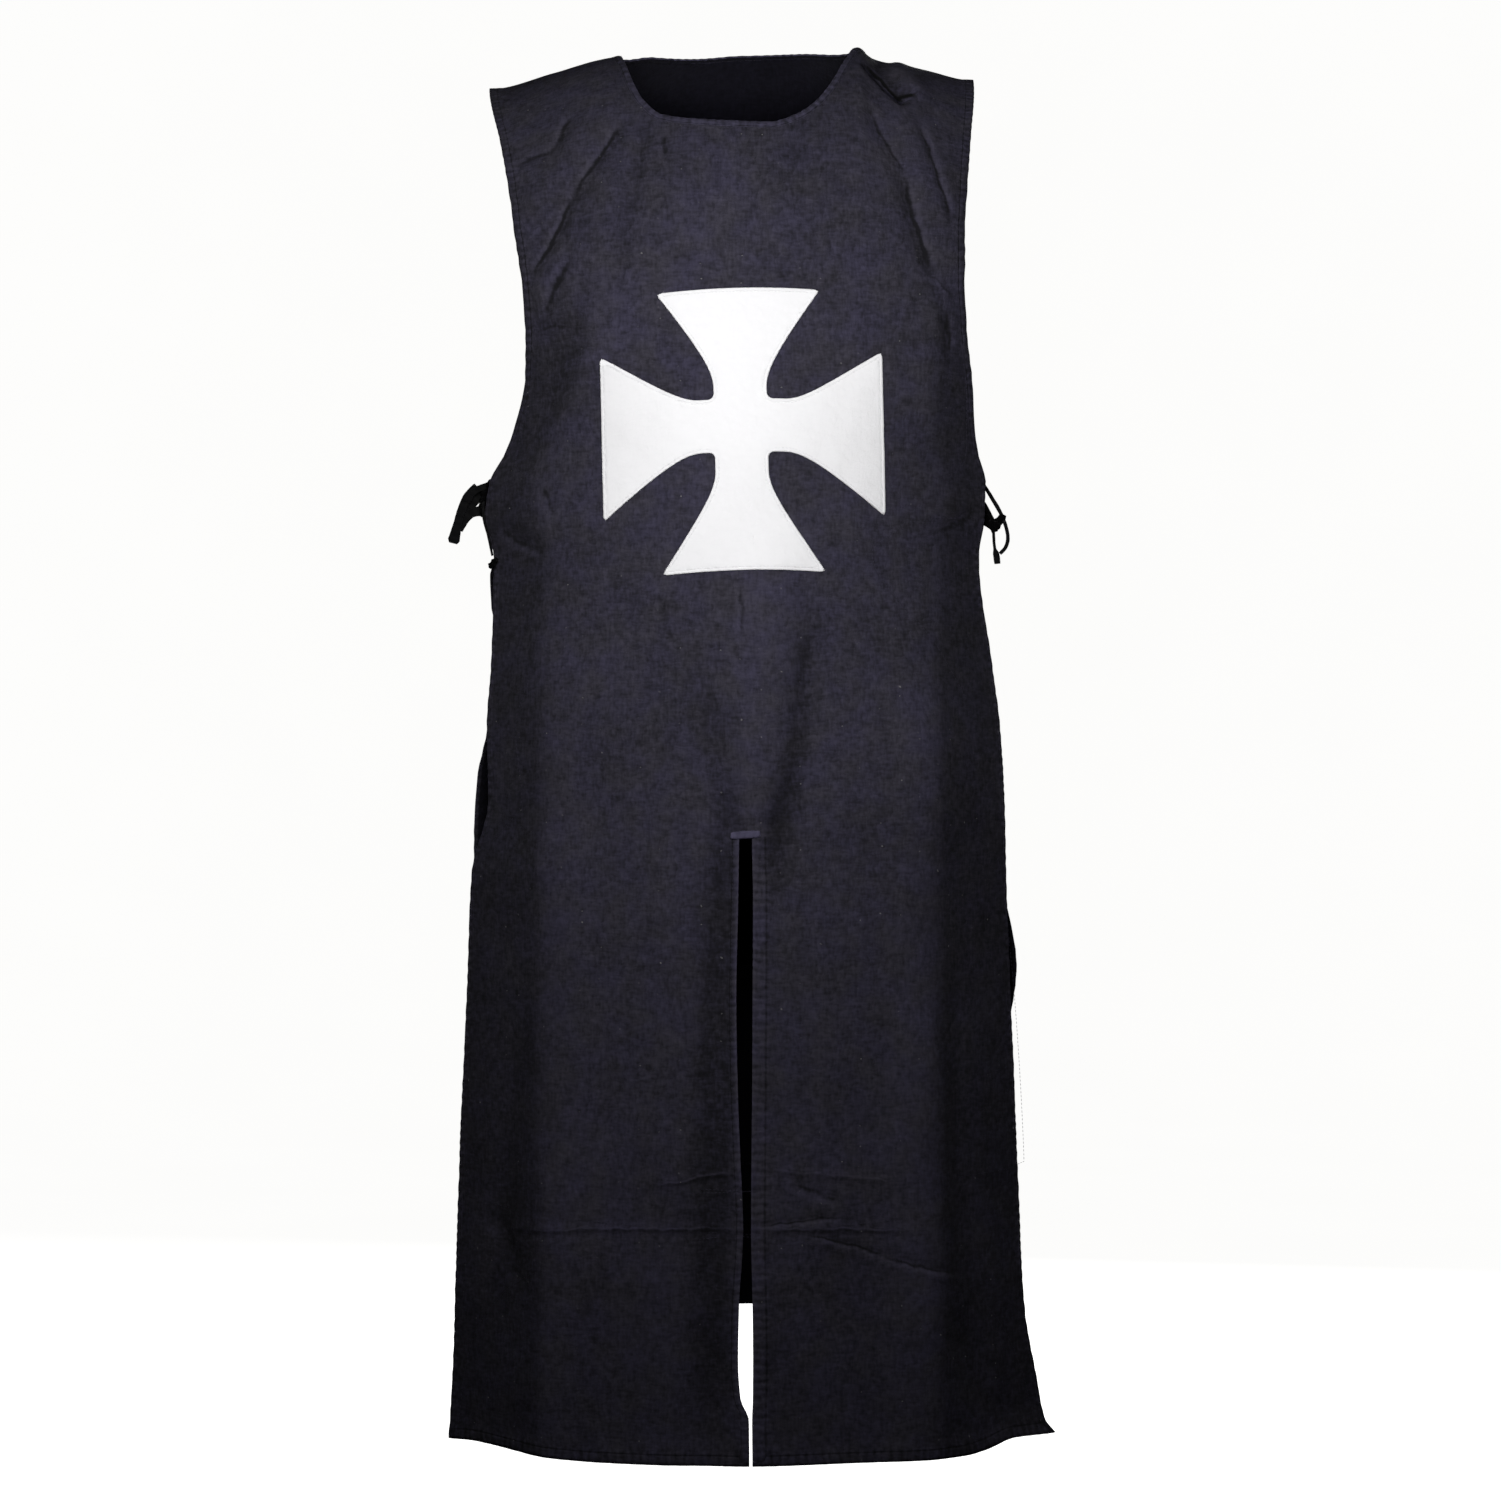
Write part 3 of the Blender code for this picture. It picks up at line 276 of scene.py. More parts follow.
# The small creases. width is half a crease's width, height is under 0 for a trough, and bank is the
# share of the height that the cloth goes the other way beside it, to its left where bank is under 0.
Crease = namedtuple("Crease", "name x0 z0 x1 z1 bow width height bank")
FRONT_CREASES = rows(
    Crease,
    ("left shoulder upper", -0.1022, -0.0722, -0.1449, -0.1371, 0.0015, 0.004, -0.0026, 0.5),
    ("left shoulder lower", -0.1449, -0.1371, -0.18, -0.1994, -0.002, 0.0038, -0.003, 0.5),
    ("left chest pull", -0.0825, -0.074, -0.105, -0.201, 0.002, 0.0065, -0.004, 0.2),
    ("left neck tuck", -0.0681, -0.0833, -0.0638, -0.1012, 0.0, 0.0045, -0.0018, 0.3),
    ("left shoulder dent", -0.1484, -0.0628, -0.1625, -0.0961, 0.0, 0.005, -0.0026, 0.3),
    ("left armhole wrinkle", -0.1625, -0.0961, -0.195, -0.1065, 0.002, 0.004, -0.0018, 0.3),
    ("left armpit crease", -0.1458, -0.1883, -0.169, -0.2345, 0.002, 0.0055, -0.0032, 0.3),
    ("left armpit arch", -0.1782, -0.2498, -0.1458, -0.2532, -0.006, 0.0035, -0.001, 0.4),
    ("left armpit hollow", -0.137, -0.25, -0.166, -0.325, -0.003, 0.01, -0.004, 0.1),
    ("right shoulder upper", 0.11, -0.0577, 0.1407, -0.114, 0.002, 0.0035, -0.0016, -0.5),
    ("right shoulder lower", 0.1407, -0.119, 0.1638, -0.199, 0.003, 0.005, -0.0036, -0.4),
    ("right shoulder dent", 0.1535, -0.0705, 0.1804, -0.155, -0.001, 0.0034, -0.0022, -0.4),
    ("right armpit crease", 0.1753, -0.2319, 0.1804, -0.2677, 0.0, 0.005, -0.002, -0.3),
    ("right armpit line", 0.16, -0.2011, 0.183, -0.219, 0.0, 0.003, -0.001, 0.4),
    ("right neck tuck", 0.0429, -0.0859, 0.0404, -0.1303, 0.001, 0.006, -0.0013, 0.3),
    ("right neck pinch", 0.1075, -0.013, 0.1405, -0.049, 0.0, 0.0034, -0.006, 0.2),
    ("right neck pocket", 0.1345, -0.045, 0.1505, -0.04, -0.001, 0.0055, -0.0078, 0.1),
    ("left waist crease", -0.1723, -0.3831, -0.1612, -0.4078, 0.0, 0.005, -0.0018, 0.4),
    ("left waist pull", -0.2107, -0.4164, -0.1714, -0.4386, 0.003, 0.0055, -0.002, 0.4),
    ("right waist pull", 0.204, -0.401, 0.169, -0.423, -0.003, 0.0055, -0.0016, 0.4),
    ("centre crease", -0.0015, -0.4676, 0.0011, -0.5129, 0.0, 0.0035, -0.0014, 0.5),
    ("left of the slit top", -0.0168, -0.6495, -0.0074, -0.684, 0.0, 0.0068, -0.0034, 0.4),
    ("right of the ridge upper", 0.06, -0.5171, 0.0475, -0.63, 0.001, 0.006, -0.0024, 0.3),
    ("right of the ridge lower", 0.0475, -0.63, 0.027, -0.679, -0.002, 0.0078, -0.004, 0.2),
    ("below the ridge", 0.027, -0.679, 0.036, -0.735, 0.0, 0.0065, -0.0026, 0.2),
    ("left of the slit", -0.015, -0.705, -0.022, -1.19, 0.004, 0.0125, -0.0046, 0.1),
    ("right of the slit", 0.0259, -1.0295, 0.0276, -1.1662, 0.0, 0.008, -0.0016, 0.2),
    ("left lower skirt", -0.19, -0.85, -0.212, -1.1, 0.004, 0.012, -0.0026, 0.3),
    ("right lower skirt", 0.182, -0.82, 0.202, -1.15, 0.003, 0.013, -0.0028, -0.3),
    ("left hem fold", -0.2175, -1.0142, -0.1928, -1.0722, -0.003, 0.0065, -0.0022, 0.4),
    ("packing crease left", -0.1936, -1.024, -0.0034, -1.0189, -0.003, 0.0024, 0.0012, 0.6),
    ("packing crease middle", 0.0165, -1.0154, 0.0865, -1.009, 0.0, 0.0022, -0.0012, 0.5),
    ("packing crease right", 0.0216, -1.0189, 0.1417, -1.0218, -0.002, 0.0024, 0.0012, 0.5),
    ("packing upper left", -0.0735, -0.9817, -0.0034, -0.9704, -0.001, 0.0024, 0.0012, 0.6),
    ("packing crease high left", -0.0971, -0.8929, -0.0715, -0.8886, 0.0, 0.0024, 0.0006, 0.6),
    ("packing upper right", 0.0216, -0.968, 0.1367, -0.9804, -0.001, 0.003, 0.0009, 0.5),
    ("packing dent right", 0.0463, -0.9804, 0.0865, -0.9954, 0.001, 0.0045, -0.0016, 0.4),
    ("sweeping upper", 0.0566, -1.0227, 0.1215, -1.0429, -0.001, 0.0026, -0.0016, 0.6),
    ("sweeping lower", 0.1215, -1.0429, 0.1817, -1.0602, 0.001, 0.0028, -0.0016, 0.6),
)
BACK_CREASES = rows(
    Crease,
    ("left shoulder crease", -0.096, -0.05, -0.152, -0.148, 0.002, 0.005, -0.002, 0.5),
    ("right shoulder crease", 0.101, -0.044, 0.15, -0.136, 0.002, 0.005, -0.0022, -0.5),
    ("nape pull left", -0.034, -0.018, -0.062, -0.13, -0.003, 0.008, -0.0016, 0.3),
    ("nape pull right", 0.042, -0.016, 0.056, -0.108, 0.003, 0.008, -0.0014, 0.3),
    ("left armhole wrinkle", -0.187, -0.185, -0.148, -0.212, 0.002, 0.005, -0.0016, 0.4),
    ("right armhole wrinkle", 0.184, -0.215, 0.149, -0.233, -0.002, 0.005, -0.0014, 0.4),
    ("left tie pull upper", -0.208, -0.376, -0.124, -0.421, 0.005, 0.006, -0.0024, 0.5),
    ("left tie pull lower", -0.208, -0.39, -0.142, -0.47, 0.004, 0.006, -0.002, 0.4),
    ("right tie pull upper", 0.201, -0.378, 0.13, -0.408, -0.004, 0.006, -0.0022, -0.5),
    ("right tie pull lower", 0.201, -0.394, 0.145, -0.464, -0.004, 0.006, -0.002, -0.4),
    ("small of the back", -0.07, -0.452, 0.058, -0.46, 0.008, 0.01, -0.0022, 0.4),
    ("seat crease", 0.016, -0.64, 0.028, -0.86, -0.004, 0.01, -0.0024, 0.3),
    ("left lower skirt", -0.181, -0.82, -0.2, -1.14, 0.004, 0.012, -0.0028, 0.3),
    ("right lower skirt", 0.18, -0.87, 0.202, -1.13, 0.003, 0.012, -0.0026, -0.3),
    ("packing crease left", -0.204, -1.017, -0.05, -1.0205, 0.001, 0.0022, -0.0007, 0.9),
    ("packing crease right", 0.024, -1.018, 0.198, -1.015, -0.001, 0.0022, -0.0007, 0.9),
    ("packing crease high", -0.132, -0.976, 0.082, -0.972, 0.002, 0.0022, -0.0005, 0.9),
    ("packing dent", 0.09, -0.986, 0.132, -1.0, 0.001, 0.0032, -0.001, 0.6),
)

# A panel's mesh: its columns on each shoulder, from each neck point to the centre strip and across
# the strip, and its rows down to the slit and below.
Mesh = namedtuple("Mesh", "shoulder neck strip above below")
FRONT_MESH = Mesh(shoulder=30, neck=52, strip=5, above=146, below=126)
BACK_MESH = Mesh(shoulder=28, neck=46, strip=5, above=208, below=26)

# Rows lie closer together over the packing creases and at the hem
PACKING_TOP, PACKING_FOOT, PACKING_FADE = -0.950, -1.070, 0.02
PACKING_WEIGHT, FOOT_WEIGHT = 1.9, 0.7

# How closely the cross's columns crowd towards its edge, how many times longer than wide its cells
# may be, its seam's groove and its cloth's waves, how many places the seam is worked out from along an
# arm's side and end, and how far its stitches sink into the cloth
EDGE_CROWDING, CROSS_CELL = 1.4, 2.2
CROSS_GROOVE_DEPTH, CROSS_GROOVE, CROSS_WAVE_HEIGHT = 0.00028, 0.0009, 0.00010
CROSS_SIDE_STEPS, CROSS_END_STEPS, CROSS_STITCH_SINK = 90, 70, 0.00012

# Ties: a step along a tape, the middles and slants of the knots, the left bow's layers behind its
# loop, and the strands that lie over the right knot
TAPE_STEP = 0.0015
LEFT_KNOT = (-0.2264, 0.0, -0.392)
LEFT_KNOT_SLANT = (-0.17, 0.0, -1.0)
RIGHT_KNOT = (0.2222, 0.0, -0.4128)
LEFT_BOW_MIDDLE = (
    (-0.2236, 0.003, -0.3848), (-0.23, 0.003, -0.3872), (-0.2366, 0.0024, -0.3914),
    (-0.2425, 0.0014, -0.3995), (-0.2464, 0.0004, -0.408), (-0.2496, -0.0004, -0.417),
)
LEFT_BOW_UNDER = (
    (-0.2225, 0.0016, -0.399), (-0.2283, 0.0014, -0.4003), (-0.2334, 0.001, -0.4008),
    (-0.2387, 0.0004, -0.4022), (-0.2429, -0.0004, -0.4058), (-0.2464, -0.0012, -0.4112),
    (-0.2497, -0.0018, -0.4176),
)
LEFT_BOW_START = (
    (-0.2176, -0.006, -0.375), (-0.223, -0.0046, -0.3779), (-0.2287, -0.004, -0.3798),
    (-0.2346, -0.0042, -0.3824), (-0.2396, -0.0052, -0.3868), (-0.2428, -0.0058, -0.393),
)
END_KNOT_SLANT = (-0.6, 0.0, -0.8)
RIGHT_KNOT_ARM = ((0.2104, 0.0, -0.4052), (0.215, 0.0, -0.4084), (0.2222, 0.0, -0.4132))
RIGHT_KNOT_REST = (
    (0.2216, 0.0, -0.4136), (0.2254, -0.0006, -0.4108), (0.2286, -0.0014, -0.4076),
    (0.2308, -0.0018, -0.4036),
)
RIGHT_KNOT_FOOT = ((0.2216, 0.0, -0.4128), (0.2218, 0.0002, -0.417), (0.2222, 0.0005, -0.4206))
RIGHT_KNOT_SLANT = (1.0, 0.0, -0.3)

# The left bow's layers, each with its width at its start and end as shares of the bow's, and the
# strands over the right knot, each with its widths there, and their thickness
LEFT_BOW_LAYERS = (
    (LEFT_BOW_MIDDLE, 1.25, 0.75), (LEFT_BOW_UNDER, 1.15, 0.80), (LEFT_BOW_START, 0.62, 0.80),
)
RIGHT_KNOT_STRANDS = (
    (RIGHT_KNOT_ARM, 0.0105, 0.0088), (RIGHT_KNOT_REST, 0.0095, 0.0062), (RIGHT_KNOT_FOOT, 0.0075, 0.0022),
)
RIGHT_KNOT_THICK = 0.0030

# Which way a tape's flat side faces
TO_FRONT = (0.0, -1.0, 0.0)
TO_FRONT_AND_UP = (0.0, -1.0, 0.3)
LEFT_BOW_FACE = (0.2, -1.0, 0.2)
LEFT_LOOP_FACE = (0.1, -1.0, 0.1)
LEFT_END_FACE = (-0.5, -1.0, 0.0)

# A tape's mesh and section: its sides, how rounded it is, its last row's width and thickness, and how
# uneven it is. A wrapped turn's places, and how uneven the turns are.
TAPE_SIDES, TAPE_ROUNDNESS = 12, 0.75
TAPE_END = (0.93, 0.6)
TAPE_GRAIN, TAPE_UNEVENNESS = 300.0, 0.10
WRAP_STEPS, WRAP_UNEVENNESS = 16, 0.08

# Painted shading: how much darker the colour is painted in a hollow, as painted shade, and paler on a
# ridge, as a painted highlight, for each metre, how much darker it is painted behind the side folds, as
# painted shade, and how far off that begins, and the limits of both
HOLLOW_SHADE, RIDGE_HIGHLIGHT = 42.0, 20.0
SIDE_SHADE, SIDE_SHADE_FADE = 0.20, 0.010
PAINTED_SHADING_LIMITS = (-0.34, 0.12)

# Half of the gap between the two panels where they are sewn together on the shoulders
SHOULDER_SEAM_GAP = 0.00006

# Turned hems: their widths at the armholes and sides, at the foot and at a slit's two edges
SIDE_HEM, FOOT_HEM = 0.0085, 0.0100
SLIT_HEM = {"left": 0.0064, "right": 0.0135}

# A turned hem's height and step, its seam's place from its inner edge, the groove's width there, and
# the waves that the seam draws into it: their height, spacing and how far and fast that wanders
HEM_RISE, HEM_STEP, HEM_SEAM, HEM_GROOVE = 0.00060, 0.0016, 0.0014, 0.0011
HEM_WAVE_HEIGHT = 0.00030
HEM_WAVES = (0.0105, 4.0, 61.0)

# Material slot of a turned hem, which shows the cloth's right side on both of its faces, and how far
# in that slot reaches, in widths of the hem
TURNED_HEM, TURNED_REACH = 2, 1.05

# Neck edge: where along it the right neck point's widening begins and over how much of it, its rows,
# the waves along it, and how far below it its seam lies
NECK_WIDENS, NECK_WIDENING, NECK_ROWS = 0.86, 0.14, 6
NECK_WAVE_HEIGHT = 0.00022
NECK_WAVES = (0.0088, 3.0, 70.0)
NECK_SEAM = 0.0013

# How far a stitch stands off the cloth, how far ahead its direction is read, and its flatness
STITCH_LIFT, STITCH_AHEAD, STITCH_FLATNESS = 0.00015, 0.0005, 0.42

# Where the seams begin: from the shoulder down a side, from a slit's top, and along the foot as
# shares of the way out from the middle
SIDE_SEAM_TOP, SLIT_SEAM_TOP = 0.004, 0.002
FOOT_SEAM_ENDS = (0.985, 0.045)
NECK_SEAM_STEPS = (90, 4)

# The bar across the slit's top: its mesh, how it narrows to its edges and ends, its lean, the shares
# of it that round down, its lift off the cloth, the threads across it and its cloth
BAR_COLUMNS, BAR_ROWS = 36, 8
BAR_WAIST, BAR_TAPER, BAR_LEAN = 0.05, 0.20, 0.0006
BAR_END, BAR_EDGE, BAR_LIFT = 0.10, 0.5, 0.0001
BAR_THREAD, BAR_THREAD_HEIGHT, BAR_WALL = 0.0014, 0.00012, 0.0007

# Painted highlights on the slit's turned edges, a pale line along its left edge and a pale band along
# its right: their widths, how softly they end, and how pale they are
SLIT_LINE, SLIT_LINE_FADE, SLIT_LINE_HIGHLIGHT = 0.0022, 0.0010, 0.55
SLIT_BAND, SLIT_BAND_FADE, SLIT_BAND_HIGHLIGHT = 0.0105, 0.0015, 0.12


def smooth(q):
    """An S curve from 0 to 1, for numbers and arrays."""
    q = np.clip(q, 0.0, 1.0)
    return q * q * (3.0 - 2.0 * q)


def bell(q):
    """A soft rise to 1 where q is 0."""
    return np.exp(-(q ** 2))


def read(table, key, at, column):
    """A column of a table at any places along its key, on a smooth curve through the rows."""
    keys = np.array([getattr(row, key) for row in table])
    values = np.array([getattr(row, column) for row in table])
    if keys[0] > keys[-1]:
        keys, values = keys[::-1], values[::-1]
    steps = np.diff(keys)
    rises = np.diff(values) / steps
    slopes = np.zeros(len(keys))
    same_way = rises[:-1] * rises[1:] > 0.0
    pairs = rises[:-1][same_way], rises[1:][same_way]
    slopes[1:-1][same_way] = 2.0 * pairs[0] * pairs[1] / (pairs[0] + pairs[1])
    at = np.clip(at, keys[0], keys[-1])
    i = np.clip(np.searchsorted(keys, at, side="right") - 1, 0, len(keys) - 2)
    q = (at - keys[i]) / steps[i]
    curve = values[i] + (values[i + 1] - values[i]) * (3.0 * q ** 2 - 2.0 * q ** 3)
    return curve + steps[i] * (slopes[i] * (q ** 3 - 2.0 * q ** 2 + q) + slopes[i + 1] * (q ** 3 - q ** 2))


def read_side(table, x, z):
    """The left or the right column of a table at heights z, as x is to the left or the right."""
    return np.where(x > 0.0, read(table, "z", z, "right"), read(table, "z", z, "left"))


def lengths_along(places):
    """The distance of each place along their line."""
    return np.concatenate([[0.0], np.cumsum(np.linalg.norm(np.diff(places, axis=0), axis=-1))])


def waves(run, pitch, wander, rate):
    """Uneven waves along a run, from -1 to 1."""
    return np.sin(2.0 * pi * run / pitch + wander * np.sin(run * rate))


def along_and_across(line, x, z):
    """The share of the way along a fold's line, and the distance to its side, for places (x, z)."""
    run_x, run_z = line.x1 - line.x0, line.z1 - line.z0
    squared = run_x ** 2 + run_z ** 2
    out_x, out_z = x - line.x0, z - line.z0
    q = (out_x * run_x + out_z * run_z) / squared
    across = (out_x * run_z - out_z * run_x) / sqrt(squared)
    return q, across - 4.0 * line.bow * q * (1.0 - q)


def ends_of(q, tail):
    """1 along a fold, and 0 past its two ends."""
    return smooth(0.5 + 0.5 * q / tail) * smooth(0.5 + 0.5 * (1.0 - q) / tail)


def fold_height(folds, x, z):
    """How far the folds lift the cloth at (x, z)."""
    height = np.zeros_like(x)
    for fold in folds:
        q, across = along_and_across(fold, x, z)
        height += fold.height * ends_of(q, FOLD_TAIL) * bell(across / fold.width)
    return height


def crease_height(creases, x, z):
    """How far the small creases lift the cloth at (x, z)."""
    height = np.zeros_like(x)
    for crease in creases:
        q, across = along_and_across(crease, x, z)
        share = across / crease.width
        beside = share - (BANK_PLACE if crease.bank > 0.0 else -BANK_PLACE)
        shape = bell(share) - abs(crease.bank) * bell(beside / BANK_WIDTH)
        height += crease.height * ends_of(q, CREASE_TAIL) * shape
    return height


def rumple(points, seed):
    """The cloth's own soft unevenness, in metres."""
    heights = np.zeros(len(points))
    for k, (x, y, z) in enumerate(points):
        for axis, (across, down, height) in enumerate(RUMPLES):
            at = [across * x, across * y, down * z]
            at[axis] += seed
            heights[k] += height * noise.noise(Vector(at))
    return heights


def folded_depth(x, z, half, edge, mid):
    """How far the cloth stands from the side plane where it folds back along its sides."""
    fold = read_side(SIDE_FOLDS, x, z)
    slope = np.minimum(SIDE_FOLD_SLOPE, SIDE_FOLD_MOST * (mid - edge) / (half - fold))
    at_fold = edge + slope * (half - fold)
    front = mid - (mid - at_fold) * (x / fold) ** 2
    back = edge + slope * (half - np.abs(x))
    return 0.5 * (front + back - np.sqrt((front - back) ** 2 + SIDE_FOLD_SOFT ** 2))


def unit(vectors):
    return vectors / np.maximum(np.linalg.norm(vectors, axis=-1, keepdims=True), 1e-12)


class Panel:
    """One shaped panel.

    A place on it has t, which runs across from -1 to 1, and way, which runs down the cloth: over
    the shoulder on an arc of the panel's reach, then straight down. Both are arrays.
    """

    def __init__(self, **cut):
        vars(self).update(cut)
        self.slit_way = float(self.way(np.array(-self.slit[0].z)))
        self.foot = min(place.z for place in self.hem)
        self.widths = None

    def level(self, z, column):
        """One of the cut's columns at heights z."""
        return read(self.sections, "z", z, column)

    def drop(self, way):
        arc = 0.5 * pi * self.reach
        over = self.reach * (1.0 - np.cos(np.minimum(way, arc) / self.reach))
        return np.where(way < arc, over, self.reach + way - arc)

    def way(self, drop):
        arc = 0.5 * pi * self.reach
        over = self.reach * np.arccos(1.0 - np.clip(drop, 0.0, self.reach) / self.reach)
        return np.where(drop < self.reach, over, arc + drop - self.reach)

    def shoulder(self, x, drop):
        return read(self.ridge, "x", x, "z") * (1.0 - smooth(drop / RIDGE_FADE))

    def way_at(self, x, z):
        """The way down to height z at x."""
        drop = np.maximum(-z, 0.0)
        for _ in range(HEIGHT_ROUNDS):
            drop = np.maximum(self.shoulder(x, drop) - z, 0.0)
        return self.way(drop)

    def plain(self, t, way):
        """The panel without its folds."""
        drop = self.drop(way)
        z = self.shoulder(t * SHOULDER_HALF, drop) - drop
        half, turn = read_side(self.sections, t, z), np.radians(self.level(z, "turn"))
        x = half * np.sin(turn * t) / np.sin(turn)
        round_away = np.maximum((np.cos(turn * t) - np.cos(turn)) / (1.0 - np.cos(turn)), 0.0)
        edge, mid = self.level(z, "edge"), self.level(z, "mid")
        depth = edge + (mid - edge) * round_away ** self.level(z, "square")
        share = read(SIDE_FOLDS, "z", z, "share")
        depth += (folded_depth(x, z, half, edge, mid) - depth) * share
        over = np.sin(np.minimum(way / self.reach, 0.5 * pi))
        y = self.side * (SHOULDER_EDGE_GAP + over * depth)
        return np.stack([x, y, self.shoulder(x, drop) - drop], axis=-1)

    def slopes(self, t, way):
        """How the place changes with t and with way."""
        low_t, high_t = np.maximum(t - SLOPE_STEP_ACROSS, -1.0), np.minimum(t + SLOPE_STEP_ACROSS, 1.0)
        low_way, high_way = np.maximum(way - SLOPE_STEP_DOWN, 0.0), way + SLOPE_STEP_DOWN
        across = self.plain(high_t, way) - self.plain(low_t, way)
        down = self.plain(t, high_way) - self.plain(t, low_way)
        return across / (high_t - low_t)[..., None], down / (high_way - low_way)[..., None]

    def frame(self, t, way):
        """Where a place is, with its folds and creases, and which way the cloth faces there."""
        place = self.plain(t, way)
        across, down = self.slopes(t, way)
        normal = unit(np.cross(down, across) * -self.side)
        return place + normal * self.relief(place, way)[..., None], normal

    def relief(self, place, way):
        """How far folds and creases lift the cloth."""
        lift = fold_height(self.folds, place[..., 0], place[..., 2])
        lift += crease_height(self.creases, place[..., 0], place[..., 2])
        return lift * smooth(way / FOLD_START)

    def wear(self, t, way):
        """Painted shading: how much paler the colour is painted on the ridges, a painted highlight, and how
        much darker in the hollows and behind the side folds, painted shade.
        """
        place = self.plain(t, way)
        x, z = place[..., 0], place[..., 2]
        relief = self.relief(place, way)
        past = (np.abs(x) - read_side(SIDE_FOLDS, x, z)) / SIDE_SHADE_FADE
        behind = smooth(past) * read(SIDE_FOLDS, "z", z, "share")
        wear = np.where(relief < 0.0, HOLLOW_SHADE, RIDGE_HIGHLIGHT) * relief - SIDE_SHADE * behind
        return np.clip(wear, *PAINTED_SHADING_LIMITS)

    def across_at(self, x, z):
        """t for a place seen from the front."""
        turn = np.radians(self.level(z, "turn"))
        return np.arcsin(np.clip(x / read_side(self.sections, x, z) * np.sin(turn), -1.0, 1.0)) / turn

    def hem_way(self, t):
        """The way down to the hem."""
        lowest = np.full_like(t, float(self.way(np.array(-self.foot))))
        return self.way(-read(self.hem, "x", self.plain(t, lowest)[..., 0], "z"))

    def slit_t(self, way, side):
        """t of the centre strip's edge, which bends to the slit and then follows it."""
        z = -self.drop(way)
        near = smooth((z - self.slit[0].z) / SLIT_BEND)
        x = read(self.slit, "z", z, side) * (1.0 - near) + SIDES[side] * STRIP_HALF * near
        return self.across_at(x, z)

    def neck_places(self, count, strip):
        """t and way round the neck edge: count steps to the centre strip on each side of it."""
        x = np.linspace(NECK_LEFT, NECK_RIGHT, EDGE_FINE_STEPS + 1)
        z = read(self.neck, "x", x, "z")
        t, way = self.across_at(x, z), self.way_at(x, z)
        left = even_places(self, t[x < -STRIP_HALF], way[x < -STRIP_HALF], count)
        right = even_places(self, t[x > STRIP_HALF], way[x > STRIP_HALF], count)
        inner = np.linspace(-STRIP_HALF, STRIP_HALF, strip + 1)[1:-1]
        inner_z = read(self.neck, "x", inner, "z")
        middle = self.across_at(inner, inner_z), self.way_at(inner, inner_z)
        return tuple(np.concatenate(parts) for parts in zip(left, middle, right))

    def inset(self, t, way, width):
        """The same places moved into the cloth, square to the edge, by a width for each."""
        place = self.plain(t, way)
        run = np.empty_like(place)
        run[1:-1] = place[2:] - place[:-2]
        run[0], run[-1] = place[1] - place[0], place[-1] - place[-2]
        across, down = self.slopes(t, way)
        inward = unit(np.cross(run, np.cross(down, across)))
        inward *= np.where((inward * down).sum(-1) > 0.0, 1.0, -1.0)[:, None]
        for end in (0, -1):
            inward[end] = unit(across[end]) * (1.0 if t[end] > 0.0 else -1.0)
        step = inward * width[:, None]
        dt = (step * across).sum(-1) / (across ** 2).sum(-1)
        dw = ((step - across * dt[:, None]) * down).sum(-1) / (down ** 2).sum(-1)
        dw[0] = dw[-1] = 0.0
        return t + dt, np.maximum(way + dw, 0.0)

    def cloth_across(self, t, way):
        """Metres across the cloth from its middle, for the weave."""
        middle = WEAVE_COLUMNS // 2
        if self.widths is None:
            grid = np.meshgrid(np.linspace(-1.0, 1.0, WEAVE_COLUMNS + 1),
                               np.linspace(0.0, WEAVE_REACH, WEAVE_ROWS + 1))
            steps = np.linalg.norm(np.diff(self.plain(*grid), axis=1), axis=-1)
            widths = np.concatenate([np.zeros((len(steps), 1)), np.cumsum(steps, axis=1)], axis=1)
            self.widths = widths - widths[:, middle:middle + 1]
        u = np.clip((t + 1.0) * middle, 0.0, WEAVE_COLUMNS - 0.001)
        v = np.clip(way * WEAVE_ROWS / WEAVE_REACH, 0.0, WEAVE_ROWS - 0.001)
        i, j = u.astype(int), v.astype(int)
        u, v = u - i, v - j
        top = self.widths[j, i] * (1.0 - u) + self.widths[j, i + 1] * u
        foot = self.widths[j + 1, i] * (1.0 - u) + self.widths[j + 1, i + 1] * u
        return top * (1.0 - v) + foot * v


def even_places(panel, t, way, count):
    """Places at even distances along a fine edge."""
    lengths = lengths_along(panel.plain(t, way))
    wanted = np.linspace(0.0, lengths[-1], count + 1)
    return np.interp(wanted, lengths, t), np.interp(wanted, lengths, way)


FRONT = Panel(name="front", side=-1, reach=FRONT_REACH, sections=FRONT_SECTIONS, ridge=FRONT_RIDGE,
              neck=FRONT_NECK, hem=FRONT_HEM, slit=FRONT_SLIT, folds=FRONT_FOLDS, creases=FRONT_CREASES)
BACK = Panel(name="back", side=1, reach=BACK_REACH, sections=BACK_SECTIONS, ridge=BACK_RIDGE,
             neck=BACK_NECK, hem=BACK_HEM, slit=BACK_VENT, folds=BACK_FOLDS, creases=BACK_CREASES)


def closer_at_ends(count, amount):
    """Shares from 0 to 1 that lie closer together towards both ends."""
    even = np.linspace(0.0, 1.0, count + 1)
    return even - amount * np.sin(2.0 * pi * even) / (2.0 * pi)


